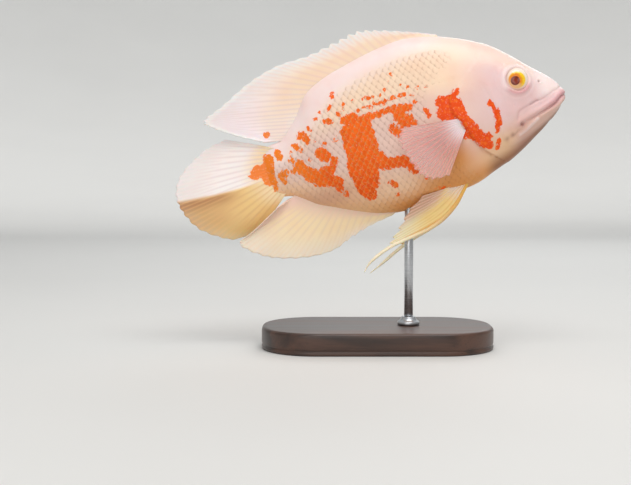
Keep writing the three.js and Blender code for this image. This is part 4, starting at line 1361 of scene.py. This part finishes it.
# %% [markdown]
# The rod is what carries the real model's weight, so it runs well into the belly. It and its collar
# are turned parts, and a profile carried round the rod's axis gives them their softened edges.

# %% Rod and collar
ROD_X = 23
ROD_RADIUS = 3.2


def add_turned(name, cad_node, profile):
    """A profile of radius and height turned about the rod's axis, closed on itself or on the axis."""
    sides = 64
    radius, height = np.asarray(profile, float).T
    points = turned_points(radius, height, sides, ROD_X)
    piece = add_mesh(name, points * MM, [grid_faces(len(profile), sides, wraps=True)])
    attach(piece, "root")
    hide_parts(cad_node)
    return piece


rod_low, rod_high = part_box("stand_rod")
rod_foot, rod_top = rod_low[2] / MM, rod_high[2] / MM
rod_profile = [(0.01, rod_foot), (2.9, rod_foot), (ROD_RADIUS, rod_foot + 0.3)]
rod_profile += [(ROD_RADIUS, rod_top - 0.3), (2.9, rod_top), (0.01, rod_top)]
rod = add_turned("rod", "stand_rod", rod_profile)
collar_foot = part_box("stand_collar")[0][2] / MM
collar_profile = [
    (3.4, collar_foot), (7.7, collar_foot), (8, collar_foot + 0.3), (8, collar_foot + 2.2),
    (7.6, collar_foot + 2.6), (6.6, collar_foot + 3.2), (5.6, collar_foot + 4.4), (5.2, collar_foot + 5.6),
    (4.9, collar_foot + 6), (3.6, collar_foot + 6), (3.4, collar_foot + 5.8), (3.4, collar_foot),
]
collar = add_turned("collar", "stand_collar", collar_profile)
print("rod from", round(rod_foot, 1), "to", round(rod_top, 1), "mm")

# %% [markdown]
# ## Node helpers and shared effects
# Materials are built from nodes by small helpers. Two effects are used by several materials, so they
# are node groups: one blends ground colour and orange patch with a ragged edge, the other makes the
# faint mottling and grain that keeps any skin from looking like paint.


# %% Node helpers
def new_group(name, inputs, outputs):
    """An empty shader node group with named sockets, given as (name, kind, default)."""
    group = bpy.data.node_groups.new(name, "ShaderNodeTree")
    for label, kind, default in inputs:
        socket = group.interface.new_socket(label, in_out="INPUT", socket_type="NodeSocket" + kind)
        if default is not None:
            socket.default_value = default
    for label, kind in outputs:
        group.interface.new_socket(label, in_out="OUTPUT", socket_type="NodeSocket" + kind)
    return group, group.nodes.new("NodeGroupInput"), group.nodes.new("NodeGroupOutput")


def node(tree, kind, values=None, **settings):
    """A node with its settings, and its inputs set to plain values or linked from other sockets."""
    made = tree.nodes.new("ShaderNode" + kind)
    for key, value in settings.items():
        setattr(made, key, value)
    for key, value in (values or {}).items():
        if isinstance(value, bpy.types.NodeSocket):
            tree.links.new(value, made.inputs[key])
        else:
            made.inputs[key].default_value = value
    return made


def maths(tree, operation, a, b=0.0, clamp=False):
    """One Math node's result."""
    made = node(tree, "Math", {0: a, 1: b}, operation=operation)
    made.use_clamp = clamp
    return made.outputs[0]


def blend(tree, share, a, b, how="MIX"):
    """One colour Mix node's result."""
    made = node(tree, "Mix", {0: share, 6: a, 7: b}, data_type="RGBA", blend_type=how)
    return made.outputs[2]


def ramp(tree, value, low, high):
    """Value mapped smoothly from the span low to high onto 0 to 1."""
    return node(tree, "MapRange", {0: value, 1: low, 2: high}, interpolation_type="SMOOTHSTEP").outputs[0]


def attribute(tree, name, field="Fac"):
    """A value or colour that is stored on the piece's own points."""
    return node(tree, "Attribute", attribute_name=name).outputs[field]


def rgba(code):
    """A web colour as a socket value."""
    return tuple(linear(code)) + (1.0,)


print("white as a socket value:", rgba("#ffffff"))

# %% [markdown]
# The two groups follow. Each gives plain results such as a colour, a mask or a height, and the
# material that uses it decides what they drive, so one group serves skin, scales and fins alike.


# %% Shared groups
def make_patch_group():
    """Noise is added to the patch distance before a steep step, so that the edge is ragged."""
    inputs = [("Ground", "Color", None), ("Ember", "Color", None), ("Distance", "Float", FAR_AWAY)]
    inputs += [("Place", "Vector", None), ("Raggedness", "Float", 1.0), ("Grain Size", "Float", 420.0)]
    group, given, result = new_group("ragged patch", inputs, [("Color", "Color"), ("Mask", "Float")])
    noise_values = {"Vector": given.outputs["Place"], "Scale": given.outputs["Grain Size"], "Detail": 2.0}
    noise = node(group, "TexNoise", noise_values)
    offset = maths(group, "MULTIPLY", maths(group, "SUBTRACT", noise.outputs[0], 0.5), 5.0)
    offset = maths(group, "MULTIPLY", offset, given.outputs["Raggedness"])
    mask = ramp(group, maths(group, "ADD", given.outputs["Distance"], offset), -0.3, 0.4)
    fleck = ramp(group, noise.outputs[0], 0.48, 0.68)
    lively = blend(group, maths(group, "MULTIPLY", fleck, 0.6), given.outputs["Ember"], rgba("#fb7e22"))
    spot_values = {"Vector": given.outputs["Place"], "Scale": 760.0, "Detail": 1.0}
    spots = ramp(group, node(group, "TexNoise", spot_values).outputs[0], 0.6, 0.7)
    solid = maths(group, "SUBTRACT", 1.0, maths(group, "MULTIPLY", spots, 0.25))
    mask = maths(group, "MULTIPLY", mask, solid)
    group.links.new(blend(group, mask, given.outputs["Ground"], lively), result.inputs["Color"])
    group.links.new(mask, result.inputs["Mask"])
    return group


def make_mottle_group():
    """Two sizes of noise: broad clouds of warmer tone, and a fine grain as a height."""
    inputs = [("Color", "Color", None), ("Place", "Vector", None), ("Cloud", "Float", 0.3)]
    inputs.append(("Warm", "Color", rgba("#f6d6cc")))
    outputs = [("Color", "Color"), ("Height", "Float"), ("Roughness", "Float")]
    group, given, result = new_group("flesh mottle", inputs, outputs)
    cloud = node(group, "TexNoise", {"Vector": given.outputs["Place"], "Scale": 55.0, "Detail": 3.0})
    grain = node(group, "TexNoise", {"Vector": given.outputs["Place"], "Scale": 900.0, "Detail": 2.0})
    share = maths(group, "MULTIPLY", ramp(group, cloud.outputs[0], 0.35, 0.75), given.outputs["Cloud"])
    warm = blend(group, share, given.outputs["Color"], given.outputs["Warm"], "MULTIPLY")
    group.links.new(warm, result.inputs["Color"])
    group.links.new(grain.outputs[0], result.inputs["Height"])
    rough = maths(group, "ADD", maths(group, "MULTIPLY", cloud.outputs[0], 0.2), 0.24)
    group.links.new(rough, result.inputs["Roughness"])
    return group


patch_group = make_patch_group()
mottle_group = make_mottle_group()
print("groups:", patch_group.name, "and", mottle_group.name)

# %% [markdown]
# ## Skin and scale materials
# Wet fish skin is pale flesh under a clear film, so both materials use a little subsurface light
# and a glossy coat. The skin reads its colours from its points. A scale also knows how near its own
# edge a point is, which draws the fine outline that makes a row of scales readable. Orange skin is
# duller than pale skin, so the coat fades and the roughness rises over the patches.


# %% Starting a wet material
def start_material(name, piece_list):
    """A node material with a Principled shader, given to each piece."""
    material = bpy.data.materials.new(name)
    material.use_nodes = True
    for piece in piece_list:
        piece.data.materials.clear()
        piece.data.materials.append(material)
    tree = material.node_tree
    return material, tree, tree.nodes["Principled BSDF"]


def wet(shader, subsurface):
    """Constant settings of wet flesh, set on the shader's own sockets."""
    shader.inputs["Subsurface Weight"].default_value = subsurface
    shader.inputs["Subsurface Radius"].default_value = (1.0, 0.45, 0.3)
    shader.inputs["Subsurface Scale"].default_value = 0.003
    shader.inputs["Coat Roughness"].default_value = 0.14
    shader.inputs["IOR"].default_value = 1.4


def dull_patches(tree, shader, mask, rough, coat):
    """Roughness rises with the mask, and the coat's weight falls to 0 where the mask is 1."""
    rough = maths(tree, "ADD", rough, maths(tree, "MULTIPLY", mask, 0.22))
    tree.links.new(rough, shader.inputs["Roughness"])
    pale = maths(tree, "SUBTRACT", 1.0, mask)
    tree.links.new(maths(tree, "MULTIPLY", pale, coat), shader.inputs["Coat Weight"])


print("subsurface, coat roughness and IOR are constants, roughness and coat weight are linked")

# %% [markdown]
# The skin takes its colours as they are. Its bump is very fine, because all larger relief is already
# in the mesh.


# %% Skin material
def finish_skin():
    """Ground and patch colours, mottled, with a fine grain for a bump."""
    material, tree, shader = start_material("wet skin", [skin])
    place = node(tree, "TexCoord").outputs["Object"]
    given = {"Ground": attribute(tree, "ground", "Color"), "Ember": attribute(tree, "ember", "Color")}
    given |= {"Distance": attribute(tree, "patch"), "Place": place, "Raggedness": 1.0, "Grain Size": 420.0}
    patch = node(tree, "Group", given, node_tree=patch_group)
    given = {"Color": patch.outputs["Color"], "Place": place, "Cloud": 0.25}
    mottle = node(tree, "Group", given, node_tree=mottle_group)
    grain = node(tree, "Bump", {"Height": mottle.outputs["Height"], "Strength": 0.08, "Distance": 0.0004})
    tree.links.new(mottle.outputs["Color"], shader.inputs["Base Color"])
    tree.links.new(grain.outputs[0], shader.inputs["Normal"])
    wet(shader, subsurface=0.12)
    dull_patches(tree, shader, patch.outputs["Mask"], mottle.outputs["Roughness"], 0.18)
    shader.inputs["Specular IOR Level"].default_value = 0.35
    return material


print(finish_skin().name)

# %% [markdown]
# On a scale the orange is drawn back from the edge, and a paler orange line runs along the rim. That
# is what lets single scales be told apart inside a patch.


# %% Scale material
def finish_scales():
    """The skin's patches, drawn back from each scale's edge, and a rosy line along that edge."""
    material, tree, shader = start_material("scale", [scales_right, scales_left])
    place = node(tree, "TexCoord").outputs["Object"]
    line = maths(tree, "MULTIPLY", ramp(tree, attribute(tree, "edge"), 0.3, 0.9), attribute(tree, "presence"))
    ground = attribute(tree, "ground", "Color")
    ground = blend(tree, maths(tree, "MULTIPLY", line, 0.06), ground, rgba("#dba796"))
    inside = maths(tree, "SUBTRACT", attribute(tree, "patch"), maths(tree, "MULTIPLY", line, 1.1))
    given = {"Ground": ground, "Ember": attribute(tree, "ember", "Color"), "Distance": inside}
    given |= {"Place": place, "Raggedness": 0.65, "Grain Size": 520.0}
    patch = node(tree, "Group", given, node_tree=patch_group)
    pale_rim = maths(tree, "MULTIPLY", maths(tree, "MULTIPLY", line, patch.outputs["Mask"]), 0.8)
    colour = blend(tree, pale_rim, patch.outputs["Color"], rgba("#fb9e54"))
    given = {"Color": colour, "Place": place, "Cloud": 0.2}
    mottle = node(tree, "Group", given, node_tree=mottle_group)
    grain = node(tree, "Bump", {"Height": mottle.outputs["Height"], "Strength": 0.1, "Distance": 0.0003})
    tree.links.new(mottle.outputs["Color"], shader.inputs["Base Color"])
    tree.links.new(grain.outputs[0], shader.inputs["Normal"])
    wet(shader, subsurface=0.06)
    dull_patches(tree, shader, patch.outputs["Mask"], mottle.outputs["Roughness"], 0.12)
    shader.inputs["Specular IOR Level"].default_value = 0.25
    return material


print(finish_scales().name)

# %% [markdown]
# ## Fin material
# Rays are bone under skin and the membrane between them is nearly clear. The piece's own values say
# where the rays run and how clear the fin is there, and Alpha follows both.


# %% Fin material
def finish_fins():
    """Ground between rays, ray colour on them, patches at the root, and Alpha from clearness."""
    fins = [o for o in bpy.data.objects if "fin_skin" in o.name or "pelvic_thread" in o.name]
    material, tree, shader = start_material("fin membrane", fins)
    place = node(tree, "TexCoord").outputs["Object"]
    ray = attribute(tree, "ray")
    ground, ray_colour = attribute(tree, "ground", "Color"), attribute(tree, "ray_colour", "Color")
    colour = blend(tree, maths(tree, "MULTIPLY", ray, 0.6), ground, ray_colour)
    given = {"Ground": colour, "Ember": attribute(tree, "ember", "Color"), "Place": place}
    given |= {"Distance": attribute(tree, "patch"), "Raggedness": 1.2, "Grain Size": 380.0}
    patch = node(tree, "Group", given, node_tree=patch_group)
    given = {"Color": patch.outputs["Color"], "Place": place, "Cloud": 0.15}
    mottle = node(tree, "Group", given, node_tree=mottle_group)
    between = maths(tree, "MULTIPLY", attribute(tree, "clear"), maths(tree, "SUBTRACT", 1.0, ray))
    alpha = maths(tree, "SUBTRACT", 1.0, between, clamp=True)
    bumpy = maths(tree, "ADD", ray, maths(tree, "MULTIPLY", mottle.outputs["Height"], 0.3))
    relief_bump = node(tree, "Bump", {"Height": bumpy, "Strength": 0.35, "Distance": 0.0004})
    tree.links.new(mottle.outputs["Color"], shader.inputs["Base Color"])
    tree.links.new(mottle.outputs["Roughness"], shader.inputs["Roughness"])
    tree.links.new(alpha, shader.inputs["Alpha"])
    tree.links.new(relief_bump.outputs[0], shader.inputs["Normal"])
    wet(shader, subsurface=0.3)
    shader.inputs["Coat Weight"].default_value = 0.25
    print("fin pieces:", len(fins))
    return material


print(finish_fins().name)

# %% [markdown]
# ## Eye material
# From the middle out the eye has a dark red pupil, a thin orange ring, a yellow iris that is more
# orange above and behind, and a cream rim that is darker below as painted shade. Steps on the stored
# radius make the rings.


# %% Eye material
def finish_eyes():
    """Rings of colour by radius, with radial streaks in the iris, under a clear glossy coat."""
    material, tree, shader = start_material("eye", eyes)
    iris, pupil, spoke = attribute(tree, "iris"), attribute(tree, "pupil"), attribute(tree, "spoke")
    round_it, outward = maths(tree, "MULTIPLY", spoke, 6.0), maths(tree, "MULTIPLY", iris, 0.15)
    streak_place = node(tree, "CombineXYZ", {0: round_it, 1: outward}).outputs[0]
    streak = node(tree, "TexNoise", {"Vector": streak_place, "Scale": 2.2, "Detail": 3.0}).outputs[0]
    yellow = blend(tree, ramp(tree, streak, 0.3, 0.7), rgba("#fbbe00"), rgba("#ffdd22"))
    yellow = blend(tree, ramp(tree, pupil, 3.2, 6.4), rgba("#e87a08"), yellow)
    over = ramp(tree, maths(tree, "COSINE", maths(tree, "SUBTRACT", spoke, 1.9)), 0.2, 1.0)
    near = maths(tree, "SUBTRACT", 1.0, ramp(tree, iris, 3.4, 6.0))
    yellow = blend(tree, maths(tree, "MULTIPLY", over, near), yellow, rgba("#e67f1c"))
    under = ramp(tree, maths(tree, "COSINE", maths(tree, "ADD", spoke, 2.2)), 0.1, 0.95)
    yellow = blend(tree, maths(tree, "MULTIPLY", under, 0.85), yellow, rgba("#efc590"))
    rim = blend(tree, ramp(tree, iris, 5.4, 6.6), yellow, rgba("#f8e7d8"))
    # Painted shade: the cream rim turns darker on its lower side.
    rim = blend(tree, maths(tree, "MULTIPLY", ramp(tree, iris, 5.8, 7.4), under), rim, rgba("#dcae98"))
    core = blend(tree, ramp(tree, pupil, 1.2, 3.4), rgba("#8c2c0a"), rgba("#641002"))
    colour = blend(tree, ramp(tree, pupil, 2.9, 3.5), core, rim)
    tree.links.new(colour, shader.inputs["Base Color"])
    tree.links.new(maths(tree, "ADD", maths(tree, "MULTIPLY", streak, 0.12), 0.1), shader.inputs["Roughness"])
    shader.inputs["Coat Weight"].default_value = 0.3
    shader.inputs["Coat Roughness"].default_value = 0.03
    return material


print(finish_eyes().name)

# %% [markdown]
# ## Stand materials
# The plinth is dark stained wood: stretched noise makes the grain along its length, and the same
# pattern varies the gloss. Rod and collar are brushed steel, with fine rings round the rod.


# %% Wood and steel
def finish_wood():
    """Noise stretched along the plinth, warped a little, between two browns."""
    material, tree, shader = start_material("stained wood", [plinth])
    place = node(tree, "TexCoord").outputs["Object"]
    long_way = node(tree, "Mapping", {"Vector": place, "Scale": (6.0, 90.0, 60.0)})
    grain_values = {"Vector": long_way.outputs[0], "Scale": 1.0, "Detail": 5.0, "Distortion": 0.6}
    grain = node(tree, "TexNoise", grain_values).outputs[0]
    pore_way = node(tree, "Mapping", {"Vector": place, "Scale": (60.0, 1400.0, 900.0)})
    pore = node(tree, "TexNoise", {"Vector": pore_way.outputs[0], "Scale": 1.0, "Detail": 2.0}).outputs[0]
    colour = blend(tree, ramp(tree, grain, 0.35, 0.68), rgba("#2b1a12"), rgba("#56382a"))
    colour = blend(tree, maths(tree, "MULTIPLY", ramp(tree, pore, 0.55, 0.8), 0.5), colour, rgba("#1a0f0a"))
    tree.links.new(colour, shader.inputs["Base Color"])
    tree.links.new(maths(tree, "ADD", maths(tree, "MULTIPLY", grain, 0.25), 0.28), shader.inputs["Roughness"])
    pitted = node(tree, "Bump", {"Height": pore, "Strength": 0.15, "Distance": 0.0002})
    tree.links.new(pitted.outputs[0], shader.inputs["Normal"])
    shader.inputs["Coat Weight"].default_value = 0.25
    shader.inputs["Coat Roughness"].default_value = 0.2
    return material


def finish_steel():
    """Noise stretched round the rod gives the brushed rings in tone, gloss and bump."""
    material, tree, shader = start_material("brushed steel", [rod, collar])
    place = node(tree, "TexCoord").outputs["Object"]
    rings = node(tree, "Mapping", {"Vector": place, "Scale": (30.0, 30.0, 2600.0)})
    brushed = node(tree, "TexNoise", {"Vector": rings.outputs[0], "Scale": 1.0, "Detail": 3.0}).outputs[0]
    tree.links.new(blend(tree, brushed, rgba("#9a9da1"), rgba("#d5d7da")), shader.inputs["Base Color"])
    rough = maths(tree, "ADD", maths(tree, "MULTIPLY", brushed, 0.25), 0.18)
    tree.links.new(rough, shader.inputs["Roughness"])
    fine = node(tree, "Bump", {"Height": brushed, "Strength": 0.08, "Distance": 0.0001})
    tree.links.new(fine.outputs[0], shader.inputs["Normal"])
    shader.inputs["Metallic"].default_value = 1.0
    return material


print(finish_wood().name, "and", finish_steel().name)

# %% [markdown]
# ## Studio
# The floor is a wide pale dish: flat under the plinth and curving up far away on every side, so no
# view shows a horizon. A flat plane would end in a hard line behind the fish.


# %% Floor
def add_dish():
    """Radius and height of a profile, flat and then a quarter circle, turned about the middle."""
    flat_radius, bend_radius, sides = 1.6, 4.0, 96
    turn = np.linspace(0, np.pi / 2, 24)
    radius = np.concatenate([[0.001, 0.4, 0.8, 1.2], flat_radius + bend_radius * np.sin(turn)])
    height = np.concatenate([np.zeros(4), bend_radius * (1 - np.cos(turn))])
    points = turned_points(radius, height, sides)
    return add_mesh("floor", points, [grid_faces(len(radius), sides, wraps=True)], turned=True)


floor = add_dish()
floor_material, floor_tree, floor_shader = start_material("pale floor", [floor])
floor_place = node(floor_tree, "TexCoord").outputs["Object"]
floor_noise = node(floor_tree, "TexNoise", {"Vector": floor_place, "Scale": 3.0}).outputs[0]
floor_colour = blend(floor_tree, floor_noise, rgba("#dcdbd8"), rgba("#e2e1de"))
floor_tree.links.new(floor_colour, floor_shader.inputs["Base Color"])
floor_shader.inputs["Roughness"].default_value = 0.75
print("floor finish:", floor_material.name)

# %% [markdown]
# Three soft lights stand round the fish, and a wide one behind it brightens the far wall. A pale
# world fills the shadows, so that the far side's shape can be seen too.


# %% Lights
def add_light(name, place, aim, size, power, colour):
    """A rectangular area light at place that faces aim."""
    data = bpy.data.lights.new(name, "AREA")
    data.shape = "RECTANGLE"
    data.size, data.size_y = size
    data.energy = power
    data.color = colour
    light = bpy.data.objects.new(name, data)
    light.location = place
    run = np.array(aim) - np.array(place)
    level = math.hypot(run[0], run[1])
    light.rotation_euler = (math.atan2(level, -run[2]), 0, math.atan2(run[1], run[0]) - math.pi / 2)
    bpy.context.collection.objects.link(light)


add_light("key", (0.15, -0.45, 1.25), (0, 0, 0.14), (0.9, 0.7), 7.9, (1.0, 0.985, 0.965))
add_light("fill", (-0.3, -1.4, 0.3), (0, 0, 0.12), (1.2, 0.9), 5.0, (1.0, 0.975, 0.955))
add_light("back", (0.3, 1.1, 0.8), (0, 0, 0.14), (0.9, 0.6), 3, (0.96, 0.98, 1.0))
add_light("wall", (0, 1.4, 1.3), (0, 4.4, 0.9), (4.0, 0.8), 28, (1.0, 1.0, 1.0))
world = bpy.data.worlds.new("studio")
bpy.context.scene.world = world
world.use_nodes = True
world.node_tree.nodes["Background"].inputs[0].default_value = (0.92, 0.94, 0.96, 1)
world.node_tree.nodes["Background"].inputs[1].default_value = 0.66
bpy.context.scene.view_settings.view_transform = "Standard"
print("four lights and a pale world")
